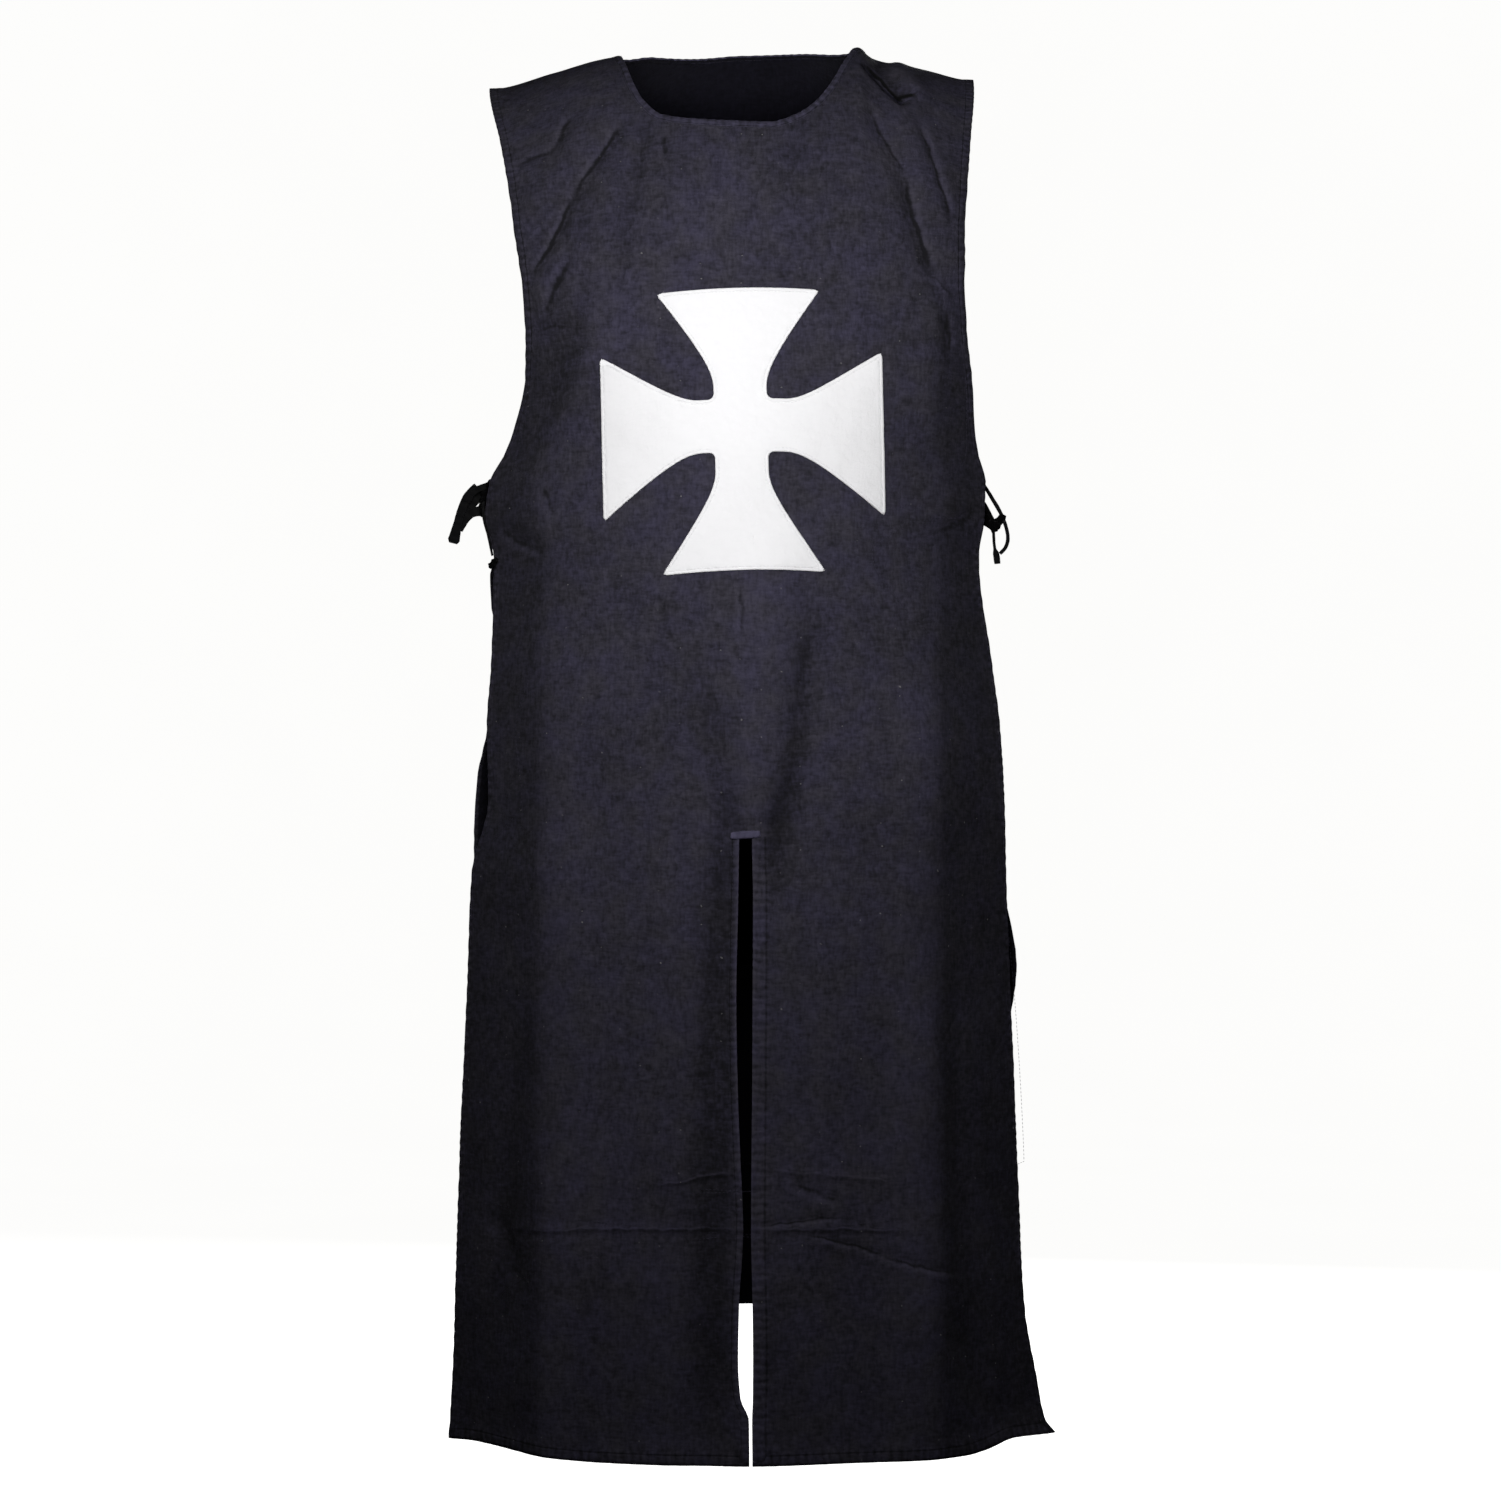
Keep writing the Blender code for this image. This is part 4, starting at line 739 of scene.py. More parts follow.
def closer_over_packing(panel, count):
    """Shares from 0 to 1 down from the slit's top, closer together over the packing creases."""
    fine = np.linspace(panel.slit[0].z, panel.foot, PACKING_FINE_STEPS)
    over = smooth((PACKING_TOP + PACKING_FADE - fine) / PACKING_FADE)
    over *= smooth((fine - PACKING_FOOT + PACKING_FADE) / PACKING_FADE)
    foot = smooth(1.0 - (fine - fine[-1]) / PACKING_FADE)
    weight = 1.0 + (PACKING_WEIGHT - 1.0) * over + FOOT_WEIGHT * foot
    total = np.concatenate([[0.0], np.cumsum(weight[:-1])])
    share = np.linspace(0.0, 1.0, PACKING_FINE_STEPS)
    return np.interp(np.linspace(0.0, total[-1], count + 1), total, share)


# ---------------------------------------------------------------- meshes and objects


def finish_piece(made, collection_name="Medieval surcoat"):
    """Links a piece, smooths it and lets it ride on the garment's one body."""
    home = bpy.data.collections.get(collection_name)
    if home is None:
        home = bpy.data.collections.new(collection_name)
        bpy.context.scene.collection.children.link(home)
    home.objects.link(made)
    made.data.shade_smooth()
    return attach(made, BODY)


def object_of(name, bm, finish):
    """A mesh object of a bmesh, with one material."""
    mesh = bpy.data.meshes.new(name)
    bm.to_mesh(mesh)
    bm.free()
    mesh.materials.append(finish)
    return bpy.data.objects.new(name, mesh)


def give_wall(made, thickness, outwards=False, lining=None):
    """Closes an open sheet with a wall, inwards from its outer face or outwards from its inner one."""
    wall = made.modifiers.new("Wall", "SOLIDIFY")
    wall.thickness = thickness
    wall.offset = 1.0 if outwards else -1.0
    wall.use_even_offset = False
    if lining:
        for finish in (lining, made.data.materials[0]):
            made.data.materials.append(finish)
        wall.material_offset = 1


def set_cloth_places(bm, across, down, hem=None, run=None, wear=None):
    """Writes the cloth's own coordinates to its UV map, the hems' to a second and its painted shading to a
    third.
    """
    maps = [("cloth", across, down)]
    if hem is not None:
        maps.append(("hem", hem, run))
    if wear is not None:
        maps.append(("wear", wear, wear))
    layers = [(bm.loops.layers.uv.new(name), np.stack([u, v], axis=-1).tolist()) for name, u, v in maps]
    for face in bm.faces:
        for loop in face.loops:
            for layer, places in layers:
                loop[layer].uv = places[loop.vert.index]


def face_outwards(bm, side):
    """Turns every face so that it points away from the wearer."""
    bmesh.ops.recalc_face_normals(bm, faces=bm.faces)
    bm.normal_update()
    if sum(face.normal.y * face.calc_area() for face in bm.faces) * side < 0.0:
        bmesh.ops.reverse_faces(bm, faces=bm.faces)


def new_grid(columns, rows):
    """A new grid, and the column and row of each of its vertices, from its top left corner."""
    bm = bmesh.new()
    bmesh.ops.create_grid(bm, x_segments=columns, y_segments=rows, size=1.0)
    places = np.array([vert.co for vert in bm.verts])
    i = np.rint((places[:, 0] + 1.0) / 2.0 * columns).astype(int)
    j = np.rint((1.0 - places[:, 1]) / 2.0 * rows).astype(int)
    return bm, i, j


def place_verts(bm, places):
    for vert, place in zip(bm.verts, places):
        vert.co = place
    bm.verts.index_update()


# ---------------------------------------------------------------- front and back


def hem_profile(distance, width):
    """The turned hem: a slightly raised band with a sewn groove inside it."""
    band = HEM_RISE * (1.0 - smooth((distance - width) / HEM_STEP))
    groove = HEM_RISE * bell((distance - width + HEM_SEAM) / HEM_GROOVE)
    return band - groove


def hem_distances(panel, t, way, below, hem_way):
    """Each place's distance to the nearest turned edge and that hem's width, and the run along it."""
    across, _ = panel.slopes(t, way)
    per_t = np.linalg.norm(across, axis=-1)
    found = [((1.0 - np.abs(t)) * per_t, np.full_like(t, SIDE_HEM), way),
             (hem_way - way, np.full_like(t, FOOT_HEM), panel.cloth_across(t, way))]
    for side, width in SLIT_HEM.items():
        beside = (t <= 0.0) if side == "left" else (t > 0.0)
        away = np.abs(t - panel.slit_t(way, side)) * per_t
        found.append((np.where(beside & below, away, 1.0), np.full_like(t, width), way))
    ratios = np.array([distance / width for distance, width, _ in found])
    nearest = ratios.argmin(axis=0)
    pick = [np.choose(nearest, [entry[k] for entry in found]) for k in range(3)]
    return np.maximum(pick[0], 0.0), pick[1], pick[2]


def slit_highlight(distance, width):
    """Painted highlight on a slit's turned edges: a pale line on its left, a pale band on its right."""
    line = SLIT_LINE_HIGHLIGHT * (1.0 - smooth((distance - SLIT_LINE) / SLIT_LINE_FADE))
    band = SLIT_BAND_HIGHLIGHT * (1.0 - smooth((distance - SLIT_BAND) / SLIT_BAND_FADE))
    return np.where(width == SLIT_HEM["left"], line, 0.0) + np.where(width == SLIT_HEM["right"], band, 0.0)


def binding_width(share, settings):
    """The neck edge widens at the right neck point."""
    wide = smooth((share - NECK_WIDENS) / NECK_WIDENING)
    return settings.binding_width + (settings.binding_wide_end - settings.binding_width) * wide


def build_panel(panel, mesh, settings, finish, wrong_side):
    """A fine sheet over the panel's form, with its creases and turned hems."""
    neck_t, neck_way = panel.neck_places(mesh.neck, mesh.strip)
    share = np.linspace(0.0, 1.0, len(neck_t))
    neck_t, neck_way = panel.inset(neck_t, neck_way, binding_width(share, settings) - settings.binding_lap)
    left_t = -1.0 + (neck_t[0] + 1.0) * np.linspace(0.0, 1.0, mesh.shoulder + 1)[:-1]
    right_t = neck_t[-1] + (1.0 - neck_t[-1]) * np.linspace(0.0, 1.0, mesh.shoulder + 1)[1:]
    top_t = np.concatenate([left_t, neck_t, right_t])
    top_way = np.concatenate([np.zeros(mesh.shoulder), neck_way, np.zeros(mesh.shoulder)])
    columns, rows = len(top_t) - 1, mesh.above + mesh.below
    half = mesh.shoulder + mesh.neck
    bm, i, j = new_grid(columns, rows)
    even = closer_at_ends(half, COLUMN_CROWDING)
    on_left, on_right = i <= half, i >= columns - half
    k = np.where(on_left, i, np.where(on_right, columns - i, 0))
    outer = np.where(on_left, -1.0, 1.0)
    t_top, way_top = top_t[i], top_way[i]
    strip_share = np.clip((i - half) / (columns - 2 * half), 0.0, 1.0)
    hem_t = np.where(on_left | on_right, outer * (1.0 - even[k]), 0.0)
    hem_way = panel.hem_way(hem_t)
    above = closer_at_ends(mesh.above, ROW_CROWDING)[np.minimum(j, mesh.above)]
    below = closer_over_packing(panel, mesh.below)[np.maximum(j - mesh.above, 0)]
    way = way_top + (panel.slit_way - way_top) * above
    way = np.where(j > mesh.above, panel.slit_way + (hem_way - panel.slit_way) * below, way)
    apart = smooth((way - way_top) / COLUMN_SPREAD)
    inner_top = {"left": top_t[half], "right": top_t[columns - half]}
    inner = {side: inner_top[side] + (panel.slit_t(way, side) - inner_top[side]) * apart
             for side in ("left", "right")}
    own_top = np.where(on_left, inner_top["left"], inner_top["right"])
    own = np.where(on_left, inner["left"], inner["right"])
    share = (t_top - outer) / (own_top - outer)
    share += (even[k] - share) * apart
    t = outer + (own - outer) * share
    strip = inner["left"] + (inner["right"] - inner["left"]) * strip_share
    t = np.where(on_left | on_right, t, strip)
    place, normal = panel.frame(t, way)
    seam = (j == 0) & ((i <= mesh.shoulder) | (i >= columns - mesh.shoulder))
    place[:, 1] = np.where(seam, panel.side * SHOULDER_SEAM_GAP, place[:, 1])
    distance, width, run = hem_distances(panel, t, way, j >= mesh.above, hem_way)
    fade = smooth(way / FOLD_START)
    lift = hem_profile(distance, width) + rumple(place, RUMPLE_SEED * panel.side) * fade
    lift += HEM_WAVE_HEIGHT * waves(run, *HEM_WAVES) * bell(distance / width)
    place_verts(bm, place + normal * lift[:, None])
    for face in list(bm.faces):
        verts = [vert.index for vert in face.verts]
        if i[verts].min() >= half and i[verts].max() <= columns - half and j[verts].min() >= mesh.above:
            bm.faces.remove(face)
    across = panel.cloth_across(t, way)
    wear = panel.wear(t, way) + slit_highlight(distance, width)
    set_cloth_places(bm, across, way, distance / width, run, wear)
    for face in bm.faces:
        if max(distance[vert.index] / width[vert.index] for vert in face.verts) < TURNED_REACH:
            face.material_index = TURNED_HEM
    loose = [edge for edge in bm.edges if not edge.link_faces]
    bmesh.ops.delete(bm, geom=loose, context="EDGES")
    face_outwards(bm, panel.side)
    made = object_of(f"{panel.name}_cloth", bm, finish)
    give_wall(made, settings.wall, lining=wrong_side)
    return finish_piece(made)


def build_neck_edge(panel, count, settings, finish, wrong_side):
    """The narrow edge sewn round the neck: a soft rounded band."""
    t, way = panel.neck_places(count, 4)
    share = np.linspace(0.0, 1.0, len(t))
    width = binding_width(share, settings)
    bm, i, j = new_grid(len(t) - 1, NECK_ROWS)
    lines = [(t, way)] + [panel.inset(t, way, width * k / NECK_ROWS) for k in range(1, NECK_ROWS + 1)]
    row_t, row_way = (np.array([line[k] for line in lines])[j, i] for k in range(2))
    place, normal = panel.frame(row_t, row_way)
    lift = settings.binding_height * np.sin(pi * np.clip(j / NECK_ROWS, 0.08, 0.92)) ** 0.6
    run = lengths_along(panel.plain(t, way))[i]
    lift += NECK_WAVE_HEIGHT * waves(run, *NECK_WAVES)
    lift += 0.5 * rumple(place, 2.0)
    lift *= 0.25 + 0.75 * smooth(run / 0.020)
    place_verts(bm, place + normal * lift[:, None])
    set_cloth_places(bm, run, width[i] * j / NECK_ROWS, j / NECK_ROWS, run)
    face_outwards(bm, panel.side)
    made = object_of(f"neck_edge_{panel.name}", bm, finish)
    give_wall(made, settings.binding_thick, lining=wrong_side)
    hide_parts(f"neck_binding_{panel.name}")
    return finish_piece(made)


# ---------------------------------------------------------------- sewing


class Stitches:
    """Many stitches in one mesh: each is a small drop of thread that lies along its seam."""

    def __init__(self):
        self.bm = bmesh.new()
        drop = bmesh.new()
        bmesh.ops.create_uvsphere(drop, u_segments=5, v_segments=4, radius=1.0,
                                  matrix=Matrix.Rotation(0.5 * pi, 4, "Y"))
        self.drop = bpy.data.meshes.new("stitch")
        drop.to_mesh(self.drop)
        drop.free()
        self.places = np.empty(3 * len(self.drop.vertices))
        self.drop.vertices.foreach_get("co", self.places)

    def add(self, place, along, normal, length, thick):
        side = along.cross(normal)
        turn = Matrix((along, side, normal)).transposed().to_4x4()
        turn.translation = place
        self.drop.vertices.foreach_set("co", self.places)
        size = Matrix.Diagonal((0.5 * length, 0.5 * thick, STITCH_FLATNESS * thick, 1.0))
        self.drop.transform(turn @ size)
        self.bm.from_mesh(self.drop)

    def sew(self, place, normal, pitch, length, thick):
        """Stitches at even distances along a line of places."""
        lengths = lengths_along(place)
        count = int(lengths[-1] / pitch)
        if count < 1:
            raise RuntimeError("a seam is too short to sew")
        for want in (np.arange(count) + 0.5) * pitch:
            middle, ahead = (Vector([np.interp(at, lengths, place[:, axis]) for axis in range(3)])
                             for at in (want, want + STITCH_AHEAD))
            faces = Vector([np.interp(want, lengths, normal[:, axis]) for axis in range(3)])
            along = (ahead - middle).normalized()
            faces = (faces - along * faces.dot(along)).normalized()
            self.add(middle, along, faces, length, thick)

    def finish(self, name, finish):
        bpy.data.meshes.remove(self.drop)
        return object_of(name, self.bm, finish)


def sew_line(stitches, panel, t, way, pitch, length, thick, lift):
    """A line of stitches on a panel."""
    place, normal = panel.frame(t, way)
    lift = lift + rumple(place, RUMPLE_SEED * panel.side) * smooth(way / FOLD_START)
    place = place + normal * lift[:, None]
    stitches.sew(place, normal, pitch, length, thick)


def side_line(panel, side, inset):
    """t and way of a line down a side edge, a hem's width inside it."""
    t_edge = np.full(SIDE_SEAM_STEPS, SIDES[side])
    foot = float(panel.hem_way(t_edge[:1])[0])
    way = np.linspace(SIDE_SEAM_TOP, foot - inset, SIDE_SEAM_STEPS)
    across, _ = panel.slopes(t_edge, way)
    return t_edge - SIDES[side] * inset / np.linalg.norm(across, axis=-1), way


def foot_line(panel, side, inset):
    """t and way of a line along the hem on one side of the slit."""
    t = np.linspace(*(SIDES[side] * end for end in FOOT_SEAM_ENDS), SEAM_STEPS)
    return t, panel.hem_way(t) - inset


def slit_line(panel, side, inset):
    """t and way of a line down one edge of the slit."""
    foot = float(panel.hem_way(np.zeros(1))[0])
    way = np.linspace(panel.slit_way + SLIT_SEAM_TOP, foot - FOOT_HEM, SEAM_STEPS)
    t = panel.slit_t(way, side)
    across, _ = panel.slopes(t, way)
    return t + SIDES[side] * inset / np.linalg.norm(across, axis=-1), way


def build_sewing(panel, settings, finish):
    """The stitches along the turned hems and under the neck edge."""
    stitches = Stitches()
    stitch = (settings.stitch_pitch, settings.stitch_length, settings.stitch_thick, STITCH_LIFT)
    for side in SIDES:
        sew_line(stitches, panel, *side_line(panel, side, SIDE_HEM - HEM_SEAM), *stitch)
        sew_line(stitches, panel, *slit_line(panel, side, SLIT_HEM[side] - HEM_SEAM), *stitch)
    for side in SIDES:
        sew_line(stitches, panel, *foot_line(panel, side, FOOT_HEM - HEM_SEAM), *stitch)
    t, way = panel.neck_places(*NECK_SEAM_STEPS)
    share = np.linspace(0.0, 1.0, len(t))
    t, way = panel.inset(t, way, binding_width(share, settings) + NECK_SEAM)
    sew_line(stitches, panel, t[2:-2], way[2:-2], *stitch)
    return finish_piece(stitches.finish(f"sewing_{panel.name}", finish))


def build_slit_bar(settings, finish):
    """The bar sewn across the top of the front slit."""
    half_wide, half_tall = 0.5 * settings.bar_width, 0.5 * settings.bar_height
    centre_x = 0.5 * (FRONT_SLIT[0].left + FRONT_SLIT[0].right)
    centre_z = FRONT_SLIT[0].z + settings.bar_above
    bm = bmesh.new()
    bmesh.ops.create_grid(bm, x_segments=BAR_COLUMNS, y_segments=BAR_ROWS, size=1.0)
    places = np.array([vert.co for vert in bm.verts])
    u, v = places[:, 0], places[:, 1]
    x = centre_x + half_wide * u * (1.0 - BAR_WAIST * v ** 2)
    z = centre_z + half_tall * v * (1.0 - BAR_TAPER * u ** 4) + BAR_LEAN * u
    t, way = FRONT.across_at(x, z), FRONT.way_at(x, z)
    place, normal = FRONT.frame(t, way)
    rim = np.clip((1.0 - np.abs(u)) / BAR_END, 0.0, 1.0) * np.clip((1.0 - np.abs(v)) / BAR_EDGE, 0.0, 1.0)
    lift = rumple(place, FRONT_SEED) + BAR_LIFT + settings.bar_rise * rim ** 0.5
    lift += BAR_THREAD_HEIGHT * np.sin(2.0 * pi * x / BAR_THREAD)
    place_verts(bm, place + normal * lift[:, None])
    set_cloth_places(bm, x, z, np.abs(v), x)
    face_outwards(bm, -1)
    made = object_of("slit_bar", bm, finish)
    give_wall(made, BAR_WALL)
    return finish_piece(made)


# ---------------------------------------------------------------- cross


class CrossCut:
    """The cross's outline: four arms that flare, with small rounds where they meet."""

    def __init__(self, settings):
        self.waist = settings.waist_half
        self.end_half = settings.end_half
        self.round = settings.inner_round
        self.tip = settings.tip_flare
        self.square = self.waist + (1.0 - 1.0 / sqrt(2.0)) * self.round

    def half_width(self, reach, end):
        """Half an arm's width at a distance from the cross's middle."""
        past = CROSS_FLARE_SLOPE * np.maximum(reach - (end - CROSS_FLARE_LENGTH), 0.0)
        flare = np.minimum(self.waist + np.sqrt(CROSS_BEND ** 2 + past ** 2) - CROSS_BEND, self.end_half)
        out = np.maximum(reach - self.waist, 0.0)
        near = np.clip(self.round - out, 0.0, self.round)
        fillet = self.round - np.sqrt(np.maximum(self.round ** 2 - near ** 2, 0.0))
        tip = self.tip * smooth(1.0 - (end - reach) / (3.0 * self.tip)) ** 2
        return flare + fillet + tip


def on_chest(flat, lift):
    """Places on the front for places on the flat cross, lifted off the cloth."""
    sag = CROSS_SAG * (flat[:, 0] / max(CROSS_REACHES)) ** 2
    x = CROSS_X + flat[:, 0] * cos(CROSS_TILT) - flat[:, 1] * sin(CROSS_TILT)
    z = CROSS_Z + flat[:, 0] * sin(CROSS_TILT) + flat[:, 1] * cos(CROSS_TILT) - sag
    t, way = FRONT.across_at(x, z), FRONT.way_at(x, z)
    place, normal = FRONT.frame(t, way)
    return place + normal * (lift + rumple(place, FRONT_SEED))[:, None], normal


def towards_edge(place):
    """A place from -1 to 1, moved so that even places lie closer together towards both edges."""
    return (1.0 - (1.0 - abs(place)) ** EDGE_CROWDING) * (1.0 if place > 0.0 else -1.0)


def build_cross(settings, finish):
    """The white cross: a square middle and four arms, with its edge turned under."""
    cut = CrossCut(settings)
    across = settings.columns
    bm = bmesh.new()
    square = bmesh.ops.create_grid(bm, x_segments=across, y_segments=across, size=1.0)["verts"]
    for vert in square:
        vert.co = Vector((towards_edge(vert.co.x), towards_edge(vert.co.y), 0.0)) * cut.square
    for quarter, end in enumerate(CROSS_REACHES):
        along = ceil(across * (end - cut.square) / (CROSS_CELL * cut.square))
        arm = bmesh.ops.create_grid(bm, x_segments=across, y_segments=along, size=1.0)["verts"]
        turn = Matrix.Rotation(0.5 * pi * quarter, 3, "Z")
        q = np.array([(vert.co.y + 1.0) / 2.0 for vert in arm])
        reach = cut.square + (end - cut.square) * (1.0 - (1.0 - q) ** EDGE_CROWDING)
        half = cut.half_width(reach, end)
        for vert, out, wide in zip(arm, reach, half):
            side = towards_edge(vert.co.x)
            corner = max(0.0, 1.0 - (1.0 - abs(side)) * wide / settings.corner_round)
            near = max(0.0, 1.0 - (end - out) / settings.corner_round)
            out -= 0.5 * settings.corner_round * corner * near
            vert.co = turn @ Vector((side * wide, out, 0.0))
    bmesh.ops.remove_doubles(bm, verts=bm.verts, dist=0.00004)
    bm.verts.index_update()
    rim = [vert.index for vert in bm.verts if vert.is_boundary]
    flat = np.array([vert.co for vert in bm.verts])
    edge = np.sqrt(((flat[:, None, :2] - flat[None, rim, :2]) ** 2).sum(-1)).min(axis=1)
    roll = np.clip(edge / settings.roll, 0.0, 1.0)
    lift = settings.lift + settings.rise * np.sqrt(1.0 - (1.0 - roll) ** 2)
    lift -= CROSS_GROOVE_DEPTH * bell((edge - settings.seam) / CROSS_GROOVE)
    lift += CROSS_WAVE_HEIGHT * np.sin(flat[:, 0] * 190.0 + 2.0 * np.sin(flat[:, 1] * 83.0))
    place, _ = on_chest(flat, lift)
    set_cloth_places(bm, flat[:, 0], flat[:, 1], edge / settings.seam, flat[:, 0] + flat[:, 1])
    place_verts(bm, place)
    face_outwards(bm, -1)
    made = object_of("cross_cloth", bm, finish)
    give_wall(made, settings.wall)
    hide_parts("cross_applique")
    return finish_piece(made)


def cross_outline(cut, inset):
    """The cross's outline a little inside its edge: each arm's two sides and its end."""
    runs = []
    for quarter, end in enumerate(CROSS_REACHES):
        reach = np.linspace(cut.waist + cut.round, end - inset, CROSS_SIDE_STEPS)
        half = cut.half_width(reach, end) - 1.15 * inset
        end_row = np.linspace(-half[-1], half[-1], CROSS_END_STEPS)
        angle = 0.5 * pi * quarter
        for side, out in ((-half, reach), (half, reach), (end_row, np.full(CROSS_END_STEPS, end - inset))):
            x = side * cos(angle) - out * sin(angle)
            y = side * sin(angle) + out * cos(angle)
            runs.append(np.stack([x, y, np.zeros_like(x)], axis=-1))
    return runs


def build_cross_sewing(settings, finish):
    """White stitches round the cross, just inside its edge."""
    cut = CrossCut(settings)
    stitches = Stitches()
    lift = settings.lift + settings.rise - CROSS_STITCH_SINK
    for run in cross_outline(cut, settings.seam):
        place, normal = on_chest(run, np.full(len(run), lift))
        stitches.sew(place, normal, settings.stitch_pitch, settings.stitch_length, settings.stitch_thick)
    made = stitches.finish("cross_sewing", finish)
    return finish_piece(made)


# ---------------------------------------------------------------- ties


def smooth_route(places, step):
    """Points at even steps on a smooth curve through the places."""
    places = [Vector(place) for place in places]
    ends = [places[0] * 2 - places[1]] + places + [places[-1] * 2 - places[-2]]
    fine = []
    for a, b, c, d in zip(ends, ends[1:], ends[2:], ends[3:]):
        for k in range(ROUTE_FINE_STEPS):
            q = k / ROUTE_FINE_STEPS
            fine.append(0.5 * (2 * b + (c - a) * q + (2 * a - 5 * b + 4 * c - d) * q * q
                               + (3 * b - a - 3 * c + d) * q ** 3))
    fine.append(places[-1])
    lengths = [0.0, *accumulate((b - a).length for a, b in zip(fine, fine[1:]))]
    count = max(2, ceil(lengths[-1] / step))
    wanted = [lengths[-1] * n / count for n in range(count + 1)]
    return [Vector([np.interp(want, lengths, [place[axis] for place in fine]) for axis in range(3)])
            for want in wanted]


def route_length(points):
    return sum((b - a).length for a, b in zip(points, points[1:]))


class Strand:
    """The mesh of narrow tapes: closed, with their flat sides turned as each asks."""

    def __init__(self, name, finish):
        self.name = name
        self.finish = finish
        self.bm = bmesh.new()
        self.cloth = self.bm.loops.layers.uv.new("cloth")
        self.edge = self.bm.loops.layers.uv.new("hem")

    def add(self, points, width, thick, face, width_at=None, turn=0.0):
        """A tape along its points, with its flat side towards face, turned by turn as it goes."""
        rows = len(points) - 1
        bm = bmesh.new()
        bmesh.ops.create_grid(bm, x_segments=TAPE_SIDES, y_segments=rows, size=1.0)
        cloth, edge = bm.loops.layers.uv.new("cloth"), bm.loops.layers.uv.new("hem")
        step = route_length(points) / rows
        for loop in (loop for one in bm.faces for loop in one.loops):
            loop[cloth].uv = (width * loop.vert.co.x, step * rows * 0.5 * (1.0 - loop.vert.co.y))
            loop[edge].uv = (1.0 - abs(loop.vert.co.x), loop[cloth].uv[1])
        for vert in bm.verts:
            angle = pi * (vert.co.x + 1.0)
            k = round(0.5 * (1.0 - vert.co.y) * rows)
            share = k / rows
            forward = (points[min(k + 1, rows)] - points[max(k - 1, 0)]).normalized()
            across = forward.cross(Vector(face)).normalized()
            across = Matrix.Rotation(turn * share, 3, forward) @ across
            out = across.cross(forward)
            wide = 0.5 * width * (1.0 if width_at is None else width_at(share))
            tall = 0.5 * thick
            if k in (0, rows):
                wide, tall = TAPE_END[0] * wide, TAPE_END[1] * tall
            uneven = noise.noise(points[k] * TAPE_GRAIN + Vector((angle, 0.0, 0.0)))
            grain = 1.0 + TAPE_UNEVENNESS * uneven
            side = cos(angle)
            side = abs(side) ** TAPE_ROUNDNESS * (1.0 if side > 0.0 else -1.0)
            vert.co = points[k] + across * wide * side * grain + out * tall * sin(angle) * grain
        bmesh.ops.remove_doubles(bm, verts=bm.verts, dist=0.00001)
        bmesh.ops.holes_fill(bm, edges=[one for one in bm.edges if one.is_boundary])
        bmesh.ops.recalc_face_normals(bm, faces=bm.faces)
        mesh = bpy.data.meshes.new("tape")
        bm.to_mesh(mesh)
        bm.free()
        self.bm.from_mesh(mesh)
        bpy.data.meshes.remove(mesh)

    def lay(self, places, width, thick, face, **more):
        """A tape on a smooth route through the places, which it returns."""
        route = smooth_route(places, TAPE_STEP)
        self.add(route, width, thick, face, **more)
        return route

    def finish_tie(self, *nodes):
        made = object_of(self.name, self.bm, self.finish)
        if nodes:
            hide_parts(*nodes)
        return finish_piece(made)


def wrap_route(centre, axis, radius, turns, length):
    """Points of the turns that a tape makes round a knot."""
    side = axis.cross(Vector((0.0, 1.0, 0.0))).normalized()
    front = axis.cross(side)
    count = ceil(WRAP_STEPS * turns)
    points = []
    for k in range(count + 1):
        share = k / count
        angle = 2.0 * pi * turns * share
        out = side * cos(angle) + front * sin(angle)
        uneven = 1.0 + WRAP_UNEVENNESS * sin(3.0 * angle)
        points.append(Vector(centre) + out * radius * uneven + axis * length * (share - 0.5))
    return points


def tie_lump(strand, centre, axis, radius, length, turns, tape_thick):
    """A knot's body along its axis, with the turns that the tape makes round it."""
    axis = Vector(axis).normalized()
    core = [Vector(centre) + axis * length * share for share in (-0.5, -0.2, 0.2, 0.5)]
    strand.add(smooth_route(core, 0.5 * TAPE_STEP), 2.0 * radius, 1.7 * radius, TO_FRONT,
               width_at=lambda share: 0.40 + 0.60 * sin(pi * share) ** 0.6)
    strand.add(wrap_route(centre, axis, 0.90 * radius, turns, 0.62 * length), 0.75 * radius, tape_thick,
               TO_FRONT)


def even_taper(start, end):
    """A tape's width along it, as a share, from its start to its end."""
    return lambda share: start + (end - start) * share


def loop_width(share):
    """The left loop is fullest in its lower part, and rounds in again at its foot."""
    fuller = float(smooth(3.6 * share - 2.55))
    foot = float(smooth((share - 0.94) / 0.06))
    return 0.90 + 0.40 * fuller - 0.40 * foot


def end_width(share):
    """The right end spreads where it was cut."""
    return 0.80 + 0.90 * float(smooth(6.0 * share - 3.4))


